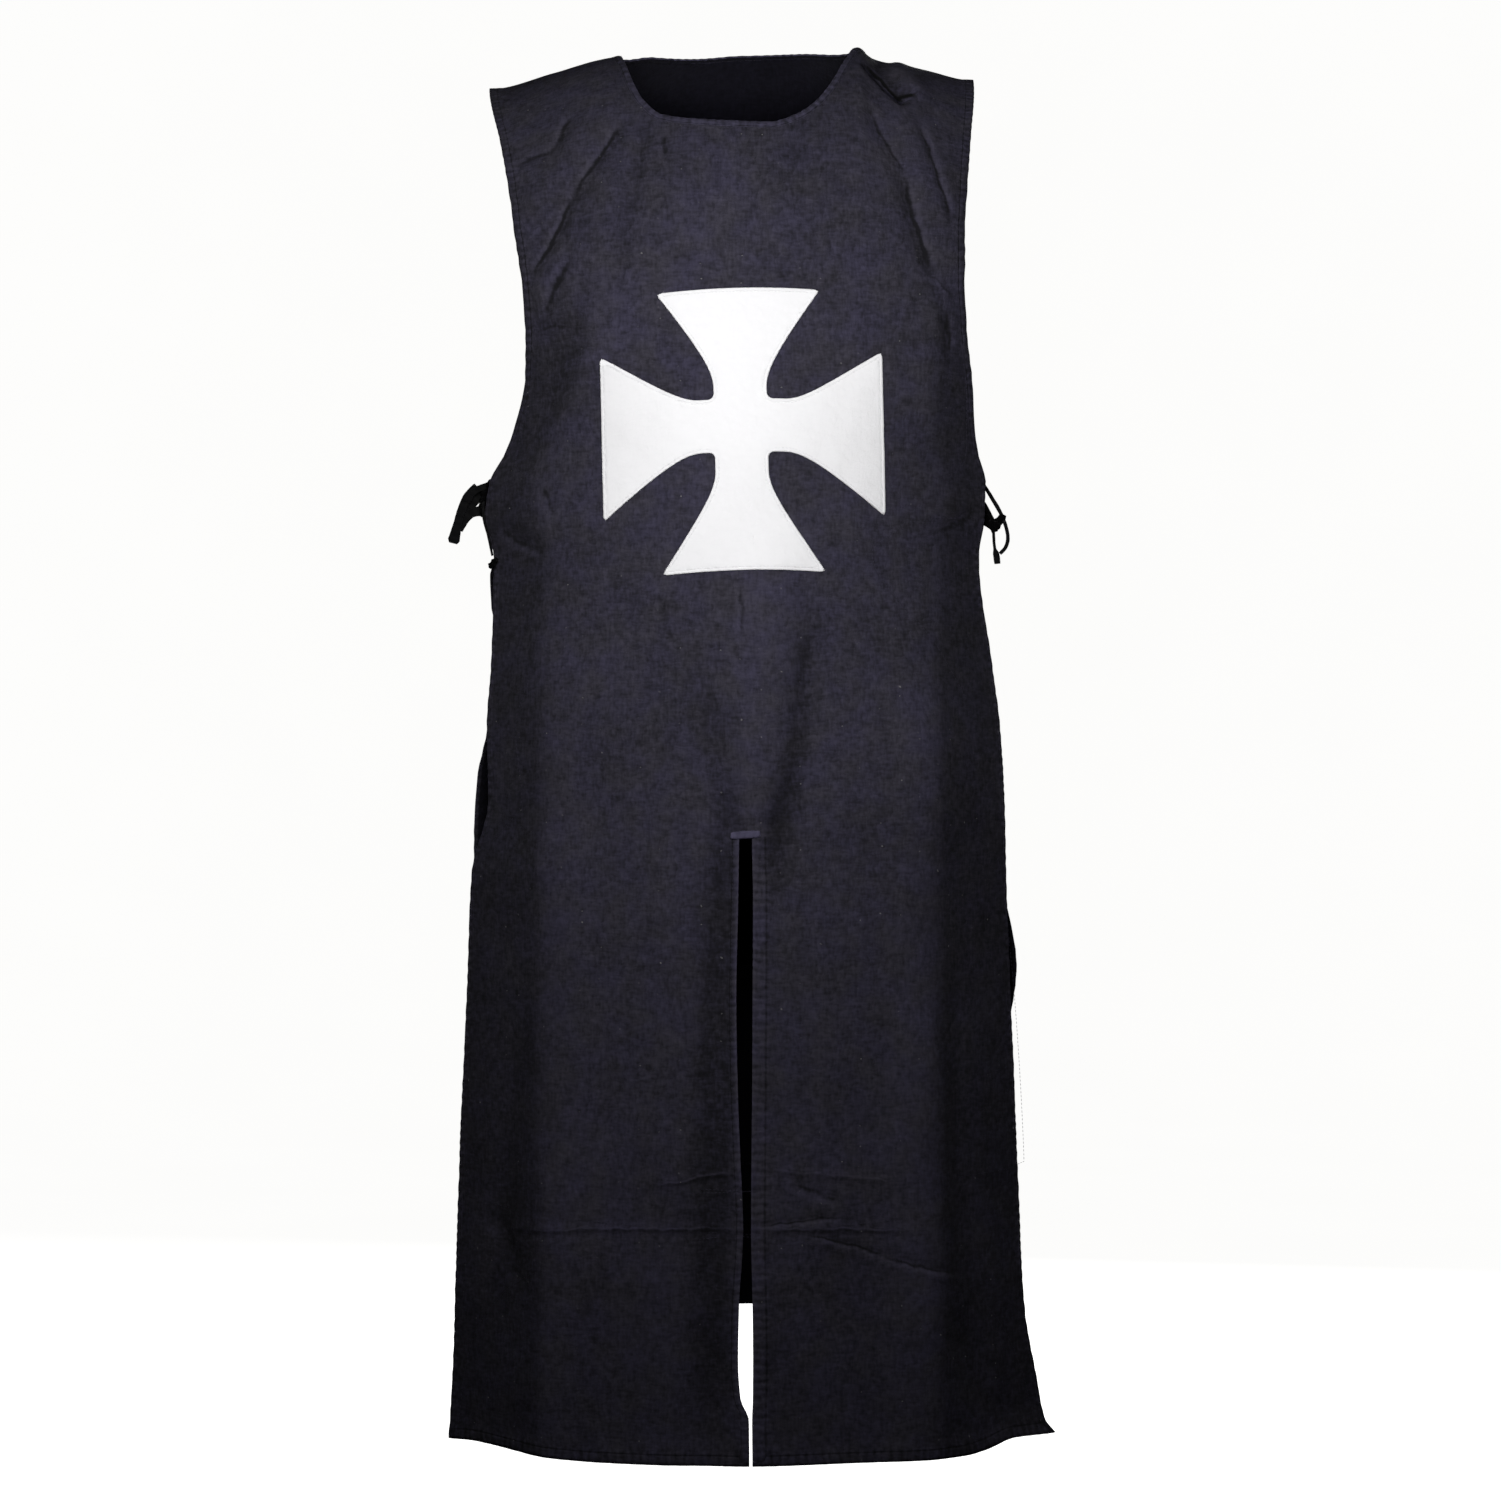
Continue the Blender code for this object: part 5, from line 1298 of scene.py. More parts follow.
def build_left_ties(settings, finish, shaded_knot_finish):
    """The left tie: its knot, the broad bow that hangs out and the end with its own knot."""
    thick = settings.tape_thick
    knot = Strand("tie_left_knot_cloth", shaded_knot_finish)
    knot.lay(LEFT_KNOT_ROUTE, settings.tape_width, thick, TO_FRONT_AND_UP)
    tie_lump(knot, LEFT_KNOT, LEFT_KNOT_SLANT, settings.left_knot, 6.2 * settings.left_knot, 3.3, thick)
    knot.finish_tie("tie_left_knot")

    bow = Strand("tie_left_bow", finish)
    for places, start, end in LEFT_BOW_LAYERS:
        bow.lay(places, settings.bow_width, thick, LEFT_BOW_FACE, width_at=even_taper(start, end))
    bow = bow.finish_tie()

    loop = Strand("tie_left_loop_cloth", finish)
    route = loop.lay(LEFT_LOOP_ROUTE, settings.bow_width, thick, LEFT_LOOP_FACE, width_at=loop_width)
    loop = loop.finish_tie("tie_left_loop")

    end = Strand("tie_left_end_cloth", finish)
    route = end.lay(LEFT_END_ROUTE, settings.tape_width, thick, LEFT_END_FACE, turn=0.5)
    end = end.finish_tie("tie_left_end")
    knot = Strand("tie_left_end_knot_cloth", shaded_knot_finish)
    tie_lump(knot, LEFT_END_KNOT, END_KNOT_SLANT, settings.end_knot, 4.4 * settings.end_knot, 1.6, thick)
    knot = knot.finish_tie("tie_left_end_knot")


def build_right_ties(settings, finish, shaded_knot_finish):
    """The right tie: its knot, the narrow loop that stands out and the short bare end."""
    knot = Strand("tie_right_knot_cloth", shaded_knot_finish)
    knot.lay(RIGHT_KNOT_ROUTE, settings.tape_width, settings.tape_thick, TO_FRONT_AND_UP)
    for places, wide, end in RIGHT_KNOT_STRANDS:
        knot.lay(places, wide, RIGHT_KNOT_THICK, TO_FRONT, width_at=even_taper(1.0, end / wide))
    tie_lump(knot, RIGHT_KNOT, RIGHT_KNOT_SLANT, settings.right_knot, 3.0 * settings.right_knot, 1.6,
             settings.tape_thick)
    knot.finish_tie("tie_right_knot")
    for name, places, width_at in (("loop", RIGHT_LOOP_ROUTE, None), ("end", RIGHT_END_ROUTE, end_width)):
        strand = Strand(f"tie_right_{name}_cloth", finish)
        route = strand.lay(places, settings.cord_width, settings.cord_thick, TO_FRONT, width_at=width_at)
        strand = strand.finish_tie(f"tie_right_{name}")


# ---------------------------------------------------------------- finishes


def as_node(operation, swapped=False):
    """One of Python's own operations, made by a node."""
    def made(self, other=0.0):
        return self.maths(operation, *((other, self) if swapped else (self, other)))
    return made


class Value:
    """A socket that Python's own arithmetic works on."""

    __add__ = __radd__ = as_node("ADD")
    __sub__, __rsub__ = as_node("SUBTRACT"), as_node("SUBTRACT", swapped=True)
    __mul__ = __rmul__ = as_node("MULTIPLY")
    __pow__, __abs__, sine = as_node("POWER"), as_node("ABSOLUTE"), as_node("SINE")

    def __init__(self, finish, socket):
        self.finish = finish
        self.socket = socket

    def maths(self, operation, first, second, third=0.0):
        return self.finish.node("Math", {"operation": operation}, {0: first, 1: second, 2: third})

    def output(self, name):
        """Another output of the same node."""
        return Value(self.finish, self.socket.node.outputs[name])

    def times(self, factor, more):
        """self * factor + more, in one node."""
        return self.maths("MULTIPLY_ADD", self, factor, more)

    def rise(self, low, high, start=0.0, end=1.0):
        """0 below low and 1 above high, smoothly."""
        return self.finish.node("MapRange", {"interpolation_type": "SMOOTHSTEP"},
                                {0: self, 1: low, 2: high, 3: start, 4: end})

    def fall(self, low, high):
        """1 below low and 0 above high, smoothly."""
        return self.rise(low, high, 1.0, 0.0)


class Finish:
    """A material, whose nodes come from one method."""

    def __init__(self, name, **fixed):
        self.material = bpy.data.materials.new(name)
        self.material.use_nodes = True
        self.tree = self.material.node_tree
        self.shader = self.tree.nodes["Principled BSDF"]
        for socket, value in fixed.items():
            self.shader.inputs[socket.replace("_", " ")].default_value = value

    def node(self, kind, settings=None, sockets=None, out=0):
        """A node of a kind, with its settings made first and then its sockets' values or links."""
        node = self.tree.nodes.new("ShaderNode" + kind)
        for name, value in (settings or {}).items():
            setattr(node, name, value)
        for name, value in (sockets or {}).items():
            socket = node.inputs[name]
            if isinstance(value, Value):
                self.tree.links.new(value.socket, socket)
            else:
                socket.default_value = value
        return Value(self, node.outputs[out])

    def places(self, name):
        """A UV map's two coordinates, in metres on the cloth."""
        at = self.node("UVMap", {"uv_map": name})
        return [self.node("SeparateXYZ", sockets={0: at}, out=k) for k in range(2)]

    def vector(self, x, y, z=0.0):
        return self.node("CombineXYZ", sockets={0: x, 1: y, 2: z})

    def grain(self, at, scale, detail=2.0, roughness=0.5, kind="2D"):
        """Soft noise from 0 to 1, on a flat cloth or all round."""
        return self.node("TexNoise", {"noise_dimensions": kind},
                         {"Vector": at, "Scale": scale, "Detail": detail, "Roughness": roughness})

    def mix(self, share, first, second):
        """A colour between two."""
        return self.node("Mix", {"data_type": "RGBA"}, {0: share, 6: first, 7: second}, out=2)

    def bump(self, height, distance, strength=1.0):
        return self.node("Bump", sockets={"Height": height, "Distance": distance, "Strength": strength})

    def use(self, **links):
        for socket, value in links.items():
            self.tree.links.new(value.socket, self.shader.inputs[socket.replace("_", " ")])
        return self.material


# How many clouds, patches, mottles, tints and specks of lint fit on a metre of cotton, and the threads'
# own unevenness along and across them
CLOUDS, PATCHES, MOTTLES, TINTS, SPECKS = 11.0, 70.0, 170.0, 34.0, 58.0
THREAD_GRAIN = (430.0, 130.0)

# How far threads wander and lint frays, a seam's place and reach in a hem's own widths, and the spacing
# of the puckers along it
THREAD_WANDER, FRAY = 0.0024, 0.0012
SEAM_PLACE, SEAM_REACH = 0.86, 0.12
PUCKER = 0.0074

# How much of each colour a greyer thread keeps
GREYER = (1.01, 1.02, 0.82)

# A narrow crease's painted mark, painted shade in its trough and a painted highlight on its bank: how far
# it wanders, its share of the crease's width, where it ends, its weight for its depth, and the most of that
MARK_WANDER, MARK_WIDTH = 0.0045, 0.62
MARK_ENDS = (0.55, 1.10)
MARK_WEIGHT, MARK_MOST = -1.6, 2.6
NARROW_CREASE = 0.0056


def opaque(colour):
    return (*colour, 1.0)


def woven(across, down, thread):
    """The height of a plain weave, threads over and under, from 0 to 1."""
    warp, weft = (across * (pi / thread)).sine(), (down * (pi / thread)).sine()
    warp_over = (warp * weft).rise(-0.25, 0.25)
    warp, weft = abs(warp), abs(weft)
    return warp * weft ** 0.5 * warp_over + weft * warp ** 0.5 * (1.0 - warp_over)


def painted_crease_shading(finish, creases):
    """The narrow creases' painted marks: how deep each place lies in a trough, weighting its painted shade,
    and how far it stands up beside one, weighting its painted highlight.
    """
    at = finish.node("TexCoord", out=3)
    x, z = (finish.node("SeparateXYZ", sockets={0: at}, out=k) for k in (0, 2))
    wander = (finish.grain(finish.vector(x, z), PATCHES, 1.0) - 0.5) * MARK_WANDER
    trough, bank = 0.0, 0.0
    for crease in creases:
        run_x, run_z = crease.x1 - crease.x0, crease.z1 - crease.z0
        squared = run_x ** 2 + run_z ** 2
        start = crease.x0 * run_x + crease.z0 * run_z
        along = x.times(2.0 * run_x / squared, z.times(2.0 * run_z / squared, -1.0 - 2.0 * start / squared))
        length = sqrt(squared)
        offset = (crease.z0 * run_x - crease.x0 * run_z) / length - crease.bow
        across = x.times(run_z / length, z.times(-run_x / length, offset)) + wander
        across = (along * along).times(crease.bow, across)
        wide = MARK_WIDTH * crease.width
        ends = abs(along).fall(*MARK_ENDS) * min(MARK_MOST, MARK_WEIGHT * crease.height / crease.width)
        side = 1.5 * wide if crease.bank > 0.0 else -1.5 * wide
        trough = abs(across).fall(0.0, wide) * ends + trough
        bank = abs(across - side).fall(0.0, 1.5 * wide) * ends + bank
    return trough, bank


def cotton(name, look, dark, light, pale):
    """Plain-woven cotton: threads, slubs, soft clouds, lint, with painted highlight on its edges and ridges
    and painted shade in its creases, seams and hollows.
    """
    finish = Finish(name, Specular_IOR_Level=look.specular, Sheen_Weight=0.02, Sheen_Roughness=0.5)
    across, down = finish.places("cloth")
    hem, run = finish.places("hem")
    at = finish.vector(across, down)
    clouds = finish.grain(at, CLOUDS, 3.0, 0.6)
    patches = finish.grain(at, PATCHES, 2.0, 0.6)
    mottle = finish.grain(at, MOTTLES, 1.0)
    across, down = ((mottle - 0.5) * THREAD_WANDER + place for place in (across, down))
    weave = woven(across, down, look.thread)
    warp, weft = (finish.grain(finish.vector(across * a, down * b), 1.0, 1.0)
                  for a, b in (THREAD_GRAIN, THREAD_GRAIN[::-1]))
    threads = warp + weft - 1.0
    groove = abs(hem - SEAM_PLACE).fall(0.0, SEAM_REACH)
    pucker = (run * (2.0 * pi / PUCKER) + patches * 5.0).sine() * hem.fall(0.75, 1.35)
    share = threads * 0.46 + (mottle - 0.5) * 0.46 + (clouds - 0.5) * 0.45 + (patches - 0.5) * 0.45 + 0.5
    # Painted highlight along the turned edges, painted shade in the sewn groove and painted light and shade
    # over the puckers
    share = share + hem.fall(0.02, 0.20) * look.edge - groove * 0.34 + pucker * 0.14
    # The panel's painted shading: painted shade in its hollows and behind its side folds, painted highlight
    # on its ridges and along the slit's edges
    if look.worn:
        share = share + finish.places("wear")[0]
    # Painted shade in the narrow creases' troughs and painted highlight on their banks
    if look.creases:
        trough, bank = painted_crease_shading(finish, look.creases)
        share = share - trough * 0.50 + bank * 0.24
        deep_crease_shade = trough.rise(1.25, 1.65)
    tint = finish.grain(at, TINTS, 2.0).rise(0.25, 0.75)
    greyer = [much * part for much, part in zip(GREYER, light)]
    worn = finish.mix(tint, opaque(light), opaque(greyer if look.lint else light))
    colour = finish.mix(share.rise(-0.25, 1.25), opaque(dark), worn)
    # Painted near-black shade in the deepest creases
    if look.creases:
        colour = finish.mix(deep_crease_shade, colour, opaque(faded(dark, 0.08)))
    if look.lint:
        frayed = finish.vector((warp - 0.5) * FRAY + across, (weft - 0.5) * FRAY + down)
        specks = finish.node("TexVoronoi", {"voronoi_dimensions": "2D"}, {"Vector": frayed, "Scale": SPECKS})
        pick = finish.node("SeparateColor", sockets={0: specks.output("Color")})
        speck = specks.fall(0.020, 0.052) * pick ** 11.0 * look.lint
        colour = finish.mix(speck, colour, opaque(pale))
    height = weave * 0.4 + threads * 0.5 + patches * 0.5 - groove * 0.6 + pucker * 0.35
    return finish.use(Base_Color=colour, Roughness=(clouds - 0.5) * 0.12 + look.roughness,
                      Normal=finish.bump(height, look.depth))


def thread_finish(name, colour):
    """Sewing thread: a fine twist along Object coordinates."""
    finish = Finish(name, Specular_IOR_Level=0.35)
    at = finish.node("TexCoord", out=3)
    twist = finish.grain(at, 2200.0, 2.0, kind="3D")
    pale = [min(1.0, part) for part in faded(colour, 1.25)]
    shade = finish.mix(twist, opaque(faded(colour, 0.7)), opaque(pale))
    return finish.use(Base_Color=shade, Roughness=twist * 0.2 + 0.6, Normal=finish.bump(twist, 0.0002))


def stage_finish(name, colour):
    """The studio's pale painted floor and wall."""
    finish = Finish(name, Specular_IOR_Level=0.1, Emission_Strength=1.13)
    grain = finish.grain(finish.node("TexCoord", out=3), 3.0, 3.0, kind="3D")
    shade = finish.mix(grain, opaque(faded(colour, 0.985)), opaque(colour))
    return finish.use(Base_Color=shade, Roughness=grain * 0.05 + 0.85, Emission_Color=shade)


def narrow(creases):
    """The creases that are too narrow for the mesh alone."""
    return [crease for crease in creases if crease.width < NARROW_CREASE]


def faded(colour, share):
    return [share * part for part in colour]


# The cottons. dark, light and paler: the colour between the threads, that of the palest ones and how
# many times paler they are here. thread: one thread's width. edge: how much paler its edges are painted,
# a painted highlight. lint: how much of it shows. depth: the weave's. creases: those that the mesh is too
# coarse for, painted darker in their troughs and paler beside them. worn: whether the panel's painted
# shading is laid on it.
Cotton = namedtuple("Cotton", "dark light paler thread edge lint roughness depth specular creases worn")
PANEL_LOOK = (0.00090, 0.34, 1.0, 0.90, 0.0006, 0.20)
COTTONS = {
    "front_cotton": Cotton("black", "black_worn", 1.0, *PANEL_LOOK, narrow(FRONT_CREASES), True),
    "back_cotton": Cotton("black", "black_worn", 1.0, *PANEL_LOOK, narrow(BACK_CREASES), True),
    # The wrong side, painted much darker than the right side: painted shade for the hollow between the
    # panels
    "inside_cotton": Cotton("inside_dark", "inside", 1.0, 0.00090, 0.10, 0.0, 0.90, 0.0008, 0.10, (), False),
    # The neck edge and the slit's bar: the black cotton painted paler, a painted highlight on their raised
    # cloth
    "neck_cotton": Cotton("black", "black_worn", 1.25, 0.00070, 0.35, 0.0, 0.85, 0.0006, 0.25, (), False),
    "bar_cotton": Cotton("black_worn", "black_worn", 1.7, 0.00070, 0.10, 0.0, 0.85, 0.0006, 0.25, (), False),
    "tie_cotton": Cotton("tie", "tie_worn", 1.0, 0.00060, 0.20, 0.4, 0.90, 0.0005, 0.10, (), False),
    # The knots: the tie's cotton painted darker, painted shade in and round the knots
    "knot_cotton": Cotton("tie", "knot", 1.0, 0.00060, 0.20, 0.0, 0.95, 0.0005, 0.05, (), False),
    "cross_cotton": Cotton("white_shade", "white", 1.0, 0.00070, 0.10, 0.0, 0.88, 0.0003, 0.25, (), False),
}


def finish_for(name, colours):
    """The material of that name, made when it is first asked for."""
    known = bpy.data.materials.get(name)
    if known:
        return known
    if name in COTTONS:
        look = COTTONS[name]
        light = faded(getattr(colours, look.light), look.paler)
        return cotton(name, look, getattr(colours, look.dark), light, colours.lint)
    if name == "black_thread":
        return thread_finish(name, faded(colours.black_worn, 0.5))
    if name == "white_thread":
        return thread_finish(name, colours.white)
    if name == "studio":
        return stage_finish(name, colours.studio)
    raise RuntimeError(f"no finish is called {name}")


# ---------------------------------------------------------------- stage


# The room's steps round its cove and round itself, and the lights: where each stands, what it shines
# at, its width and height, and its colour
COVE_STEPS, ROOM_STEPS = 8, 72
Light = namedtuple("Light", "name place towards size colour")
LIGHTS = rows(
    Light,
    ("key light", (-0.045, -0.88, -0.215), (0.0, 0.0, -0.31), (0.42, 0.26), (0.98, 0.98, 1.0)),
    ("fill light", (-1.2, -2.4, -0.9), (0.0, 0.0, -0.8), (1.6, 1.6), (1.0, 1.0, 1.0)),
    ("back light", (0.5, 2.4, 0.3), (0.0, 0.0, -0.6), (1.6, 1.6), (1.0, 1.0, 1.0)),
)


def build_room(settings, finish):
    """A round pale room: a floor that curves up into its wall."""
    bm = bmesh.new()
    floor, radius, cove = settings.floor_height, settings.room_radius, settings.cove_radius
    profile = [(0.0, floor), (0.5 * (radius - cove), floor), (radius - cove, floor)]
    for k in range(1, COVE_STEPS + 1):
        angle = 0.5 * pi * k / COVE_STEPS
        profile.append((radius - cove + cove * sin(angle), floor + cove * (1.0 - cos(angle))))
    profile.append((radius, floor + settings.room_height))
    verts = [bm.verts.new((x, 0.0, z)) for x, z in profile]
    edges = [bm.edges.new(pair) for pair in zip(verts, verts[1:])]
    bmesh.ops.spin(bm, geom=verts + edges, cent=(0.0, 0.0, 0.0), axis=(0.0, 0.0, 1.0), angle=2.0 * pi,
                   steps=ROOM_STEPS, use_merge=True)
    bmesh.ops.remove_doubles(bm, verts=bm.verts, dist=0.0001)
    bmesh.ops.recalc_face_normals(bm, faces=bm.faces)
    bm.normal_update()
    if sum(face.normal.z * face.calc_area() for face in bm.faces) < 0.0:
        bmesh.ops.reverse_faces(bm, faces=bm.faces)
    room = object_of("studio_room", bm, finish)
    bpy.context.scene.collection.objects.link(room)
    room.data.shade_smooth()
    room.visible_diffuse = room.visible_glossy = room.visible_shadow = False


def add_light(light, power):
    """A rectangular soft light, which the camera doesn't see."""
    lamp = bpy.data.lights.new(light.name, "AREA")
    lamp.shape = "RECTANGLE"
    lamp.size, lamp.size_y = light.size
    lamp.energy = power
    lamp.color = light.colour
    made = bpy.data.objects.new(light.name, lamp)
    made.location = light.place
    made.rotation_euler = (Vector(light.towards) - Vector(light.place)).to_track_quat("-Z", "Y").to_euler()
    made.visible_camera = False
    bpy.context.scene.collection.objects.link(made)


def build_stage(settings, finish):
    """The room, its soft lights and the camera."""
    build_room(settings, finish)
    for light, power in zip(LIGHTS, (settings.key_power, settings.fill_power, settings.rear_power)):
        add_light(light, power)
    world = bpy.data.worlds.new("studio")
    world.use_nodes = True
    sky = world.node_tree.nodes["Background"]
    sky.inputs["Color"].default_value = (1.0, 1.0, 1.0, 1.0)
    sky.inputs["Strength"].default_value = settings.ambient
    bpy.context.scene.world = world
    camera = bpy.data.cameras.new("camera")
    camera.lens = settings.lens
    camera.sensor_width = 36.0
    camera.clip_end = 50.0
    made = bpy.data.objects.new("camera", camera)
    made.location = settings.camera_place
    made.rotation_euler = (0.5 * pi, 0.0, 0.0)
    bpy.context.scene.collection.objects.link(made)
    bpy.context.scene.camera = made
    bpy.context.scene.view_settings.view_transform = "Standard"


# ---------------------------------------------------------------- settings and operators


def length_of(name, description, default):
    return FloatProperty(name=name, description=description, default=default, min=0.0, subtype="DISTANCE",
                         unit="LENGTH", precision=5)


def amount_of(name, description, default):
    return FloatProperty(name=name, description=description, default=default, min=0.0)


def colour_of(name, description, default):
    return FloatVectorProperty(name=name, description=description, default=default, min=0.0, max=1.0,
                               subtype="COLOR", size=3)


class SewingSettings(bpy.types.PropertyGroup):
    """The panels' cloth, the neck edge and the sewing."""

    wall: length_of("Cloth", "Thickness of the panels' cloth", 0.0009)
    binding_lap: length_of("Neck edge's lap", "How far the neck edge laps over the panel", 0.0022)
    binding_width: length_of("Neck edge", "Width of the edge sewn round the neck", 0.0060)
    binding_wide_end: length_of("Neck edge's wide end", "Its width at the right neck point", 0.0085)
    binding_height: length_of("Neck edge's height", "How far it stands off the cloth", 0.0012)
    binding_thick: length_of("Neck edge's thickness", "Its cloth, folded", 0.0018)
    stitch_pitch: length_of("Stitch spacing", "From one stitch to the next", 0.0034)
    stitch_length: length_of("Stitch length", "What shows of one stitch", 0.0024)
    stitch_thick: length_of("Thread", "Thickness of the sewing thread", 0.00045)
    bar_width: length_of("Slit bar's width", "Bar sewn across the slit's top", 0.0265)
    bar_height: length_of("Slit bar's height", "How tall the bar is", 0.0072)
    bar_above: length_of("Slit bar's place", "From the slit's top up to the bar's middle", 0.0010)
    bar_rise: length_of("Slit bar's rise", "How far it stands off the cloth", 0.0013)


class CrossSettings(bpy.types.PropertyGroup):
    """The white cross."""

    waist_half: length_of("Half waist", "Half an arm's width at the cross's middle", 0.0228)
    end_half: length_of("Half end", "Half an arm's width at its end", 0.0685)
    inner_round: length_of("Inner corners", "Their radius", 0.0050)
    tip_flare: length_of("Tips", "How far the outer corners reach out", 0.0004)
    corner_round: length_of("Outer corners", "How far they are rounded", 0.0030)
    columns: IntProperty(name="Columns", description="Mesh columns across an arm", default=44, min=8, max=96)
    roll: length_of("Turned edge", "Width over which the edge rounds down", 0.0016)
    rise: length_of("Rise", "How far the cross stands above its edge", 0.0010)
    seam: length_of("Seam", "From the edge to the stitches", 0.0032)
    lift: length_of("Lift", "How far the edge stands off the front", 0.0006)
    wall: length_of("Cloth", "Thickness of the cross's cloth", 0.0006)
    stitch_pitch: length_of("Stitch spacing", "From one stitch to the next", 0.0030)
    stitch_length: length_of("Stitch length", "What shows of one stitch", 0.0020)
    stitch_thick: length_of("Thread", "Thickness of the sewing thread", 0.00042)


class TieSettings(bpy.types.PropertyGroup):
    """The ties at the sides."""

    tape_width: length_of("Tape", "Width of the narrow tape", 0.0034)
    tape_thick: length_of("Tape's thickness", "Thickness of every tape", 0.0012)
    bow_width: length_of("Bow", "Width of the left tie's broad bow", 0.0085)
    cord_width: length_of("Rolled tape", "Width of the right tie's rolled tape", 0.0033)
    cord_thick: length_of("Rolled tape's thickness", "Thickness of the right tie's rolled tape", 0.0022)
    left_knot: length_of("Left knot", "Radius of the left tie's knot", 0.0046)
    right_knot: length_of("Right knot", "Radius of the right tie's knot", 0.0042)
    end_knot: length_of("End knot", "Radius of the knot in the left tie's end", 0.0026)


class ColourSettings(bpy.types.PropertyGroup):
    """Colours of the cloth, thread and studio."""

    black: colour_of("Black", "The black cotton between its threads", (0.00752, 0.00708, 0.00956))
    black_worn: colour_of("Worn black", "The black cotton's palest threads", (0.06195, 0.05664, 0.09558))
    # The inside colours paint the wrong side much darker than the right side: painted shade for the hollow
    # between the panels
    inside: colour_of("Inside", "The palest threads of the unworn wrong side", (0.01239, 0.01150, 0.01991))
    lint: colour_of("Lint", "Specks of lint in the black cotton", (0.1700, 0.1650, 0.1700))
    inside_dark: colour_of("Inside, dark", "The wrong side between its threads", (0.00372, 0.00336, 0.00584))
    tie: colour_of("Tie", "The ties between their threads", (0.00071, 0.00071, 0.00089))
    tie_worn: colour_of("Worn tie", "The ties' palest threads", (0.00708, 0.00717, 0.00885))
    # The knots' colour is the tie's painted darker: painted shade in and round the knots
    knot: colour_of("Knot", "The knots' palest threads", (0.00159, 0.00150, 0.00177))
    white: colour_of("White", "The cross", (0.975, 0.970, 0.965))
    white_shade: colour_of("White shade", "The cross between its threads", (0.945, 0.940, 0.935))
    studio: colour_of("Studio", "Floor and wall", (0.860, 0.858, 0.850))


class StageSettings(bpy.types.PropertyGroup):
    """The studio, its lights and the camera."""

    floor_height: FloatProperty(name="Floor", description="Its height", default=-1.45, unit="LENGTH")
    room_radius: length_of("Room", "Radius of the round room", 6.2)
    cove_radius: length_of("Cove", "Radius where the floor meets the wall", 1.2)
    room_height: length_of("Wall", "Height of the wall", 5.0)
    key_power: amount_of("Key light", "Watts", 6.95)
    fill_power: amount_of("Fill light", "Watts", 0.5)
    rear_power: amount_of("Back light", "Watts", 50.0)
    ambient: amount_of("Ambient", "Strength of the light all round", 0.012)
    lens: amount_of("Lens", "Focal length in millimetres", 95.07)
    camera_place: FloatVectorProperty(name="Camera", description="Where the camera stands", size=3,
                                      default=(0.0075, -3.5, -0.6115), subtype="TRANSLATION", unit="LENGTH")


class Step:
    """What the operators share: each does its own work on the scene, with finishes by their names."""

    def execute(self, context):
        self.work(context.scene)
        return {"FINISHED"}

    def finishes(self, scene, *names):
        return [finish_for(name, scene.surcoat_colours) for name in names]


class MakeFront(Step, bpy.types.Operator):
    """Makes the front: one panel with its folds, creases, turned hems and slit"""

    bl_idname = "surcoat.front"
    bl_label = "Front"

    def work(self, scene):
        outside, inside = self.finishes(scene, "front_cotton", "inside_cotton")
        build_panel(FRONT, FRONT_MESH, scene.surcoat_sewing, outside, inside)


class MakeBack(Step, bpy.types.Operator):
    """Makes the back: one panel with its folds, creases, turned hems and vent"""

    bl_idname = "surcoat.back"
    bl_label = "Back"

    def work(self, scene):
        outside, inside = self.finishes(scene, "back_cotton", "inside_cotton")
        build_panel(BACK, BACK_MESH, scene.surcoat_sewing, outside, inside)


class MakeNeckEdges(Step, bpy.types.Operator):
    """Makes the edge sewn round the neck, front and back"""

    bl_idname = "surcoat.neck_edges"
    bl_label = "Neck edges"

    def work(self, scene):
        edge, inside = self.finishes(scene, "neck_cotton", "inside_cotton")
        build_neck_edge(FRONT, 150, scene.surcoat_sewing, edge, edge)
        build_neck_edge(BACK, 110, scene.surcoat_sewing, edge, inside)


class MakeCross(Step, bpy.types.Operator):
    """Makes the white cross and the stitches that hold it"""

    bl_idname = "surcoat.cross"
    bl_label = "Cross"

    def work(self, scene):
        cloth, thread = self.finishes(scene, "cross_cotton", "white_thread")
        build_cross(scene.surcoat_cross, cloth)
        build_cross_sewing(scene.surcoat_cross, thread)


class MakeSewing(Step, bpy.types.Operator):
    """Sews the hems and the neck edges, and the bar across the top of the slit"""

    bl_idname = "surcoat.sewing"
    bl_label = "Sewing"

    def work(self, scene):
        thread, bar = self.finishes(scene, "black_thread", "bar_cotton")
        for panel in (FRONT, BACK):
            build_sewing(panel, scene.surcoat_sewing, thread)
        build_slit_bar(scene.surcoat_sewing, bar)


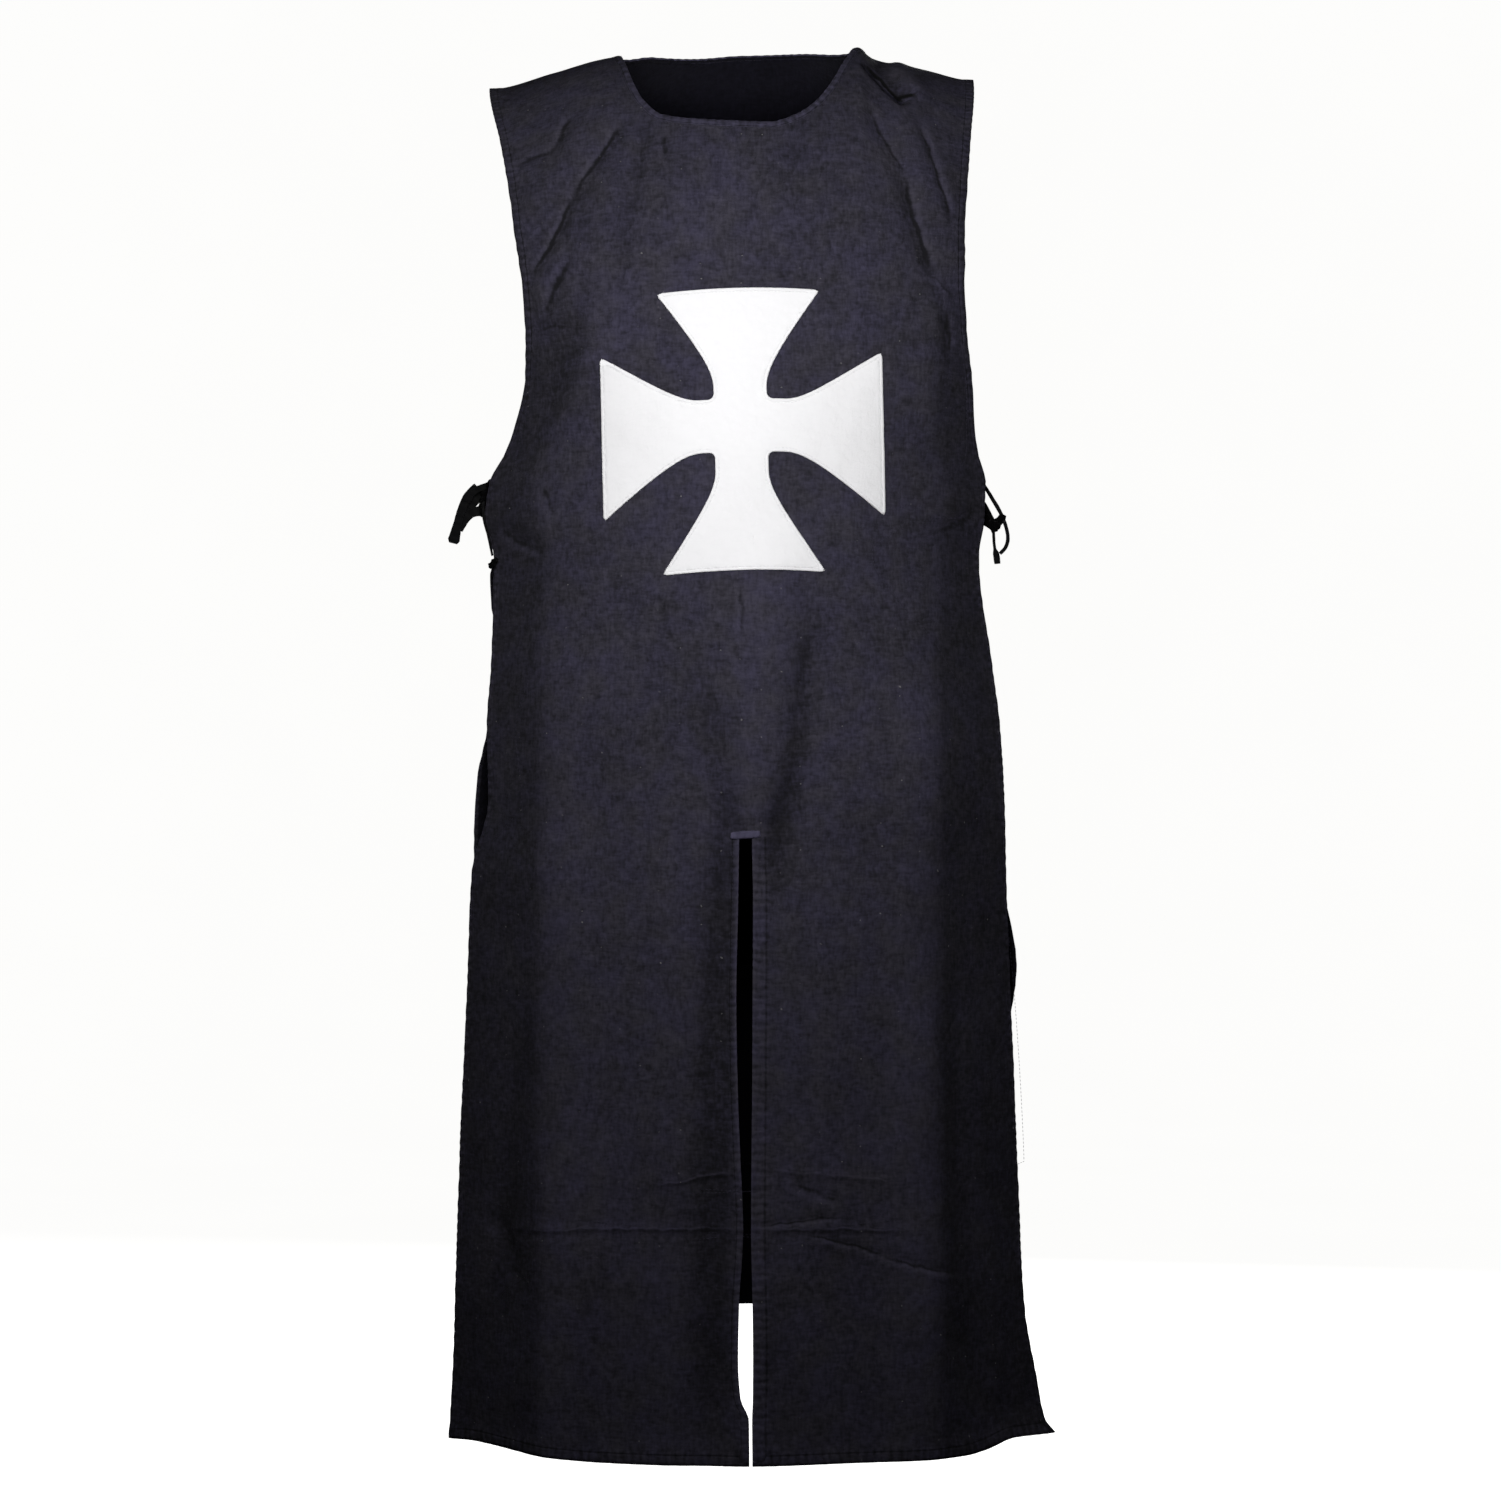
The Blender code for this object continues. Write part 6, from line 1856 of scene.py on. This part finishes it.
class MakeTies(Step, bpy.types.Operator):
    """Ties the front to the back at both sides of the waist"""

    bl_idname = "surcoat.ties"
    bl_label = "Ties"

    def work(self, scene):
        for build in (build_left_ties, build_right_ties):
            build(scene.surcoat_ties, *self.finishes(scene, "tie_cotton", "knot_cotton"))


class DeclareCloth(Step, bpy.types.Operator):
    """Hides the solids of the front and the back panel"""

    bl_idname = "surcoat.cut"
    bl_label = "Cut of the cloth"

    def work(self, scene):
        declare_sheets()


class SetStage(Step, bpy.types.Operator):
    """Sets up the studio, its lights and the camera"""

    bl_idname = "surcoat.stage"
    bl_label = "Stage"

    def work(self, scene):
        build_stage(scene.surcoat_stage, *self.finishes(scene, "studio"))


def declare_sheets():
    """Hides the solids of the front and the back panel."""
    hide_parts("front_panel")
    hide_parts("back_panel")


class SurcoatPanel(bpy.types.Panel):
    """The surcoat's pieces and settings"""

    bl_idname = "VIEW3D_PT_surcoat"
    bl_label = "Surcoat"
    bl_space_type = "VIEW_3D"
    bl_region_type = "UI"
    bl_category = "Surcoat"

    def draw(self, context):
        layout = self.layout
        for operator in OPERATORS:
            layout.operator(operator.bl_idname)
        for name in SETTINGS:
            group = getattr(context.scene, name)
            box = layout.box()
            box.label(text=name.replace("_", " "))
            for key in group.bl_rna.properties.keys():
                if key not in ("rna_type", "name"):
                    box.prop(group, key)


OPERATORS = (MakeFront, MakeBack, MakeNeckEdges, MakeCross, MakeSewing, MakeTies, DeclareCloth, SetStage)
SETTINGS = {
    "surcoat_sewing": SewingSettings,
    "surcoat_cross": CrossSettings,
    "surcoat_ties": TieSettings,
    "surcoat_colours": ColourSettings,
    "surcoat_stage": StageSettings,
}


def register():
    for made in (*SETTINGS.values(), *OPERATORS, SurcoatPanel):
        bpy.utils.register_class(made)
    for name, group in SETTINGS.items():
        setattr(bpy.types.Scene, name, PointerProperty(type=group))


def unregister():
    for name in SETTINGS:
        delattr(bpy.types.Scene, name)
    for made in reversed((*SETTINGS.values(), *OPERATORS, SurcoatPanel)):
        bpy.utils.unregister_class(made)


def main():
    register()
    for operator in OPERATORS:
        group, name = operator.bl_idname.split(".")
        getattr(getattr(bpy.ops, group), name)()


if __name__ == "__main__":
    main()
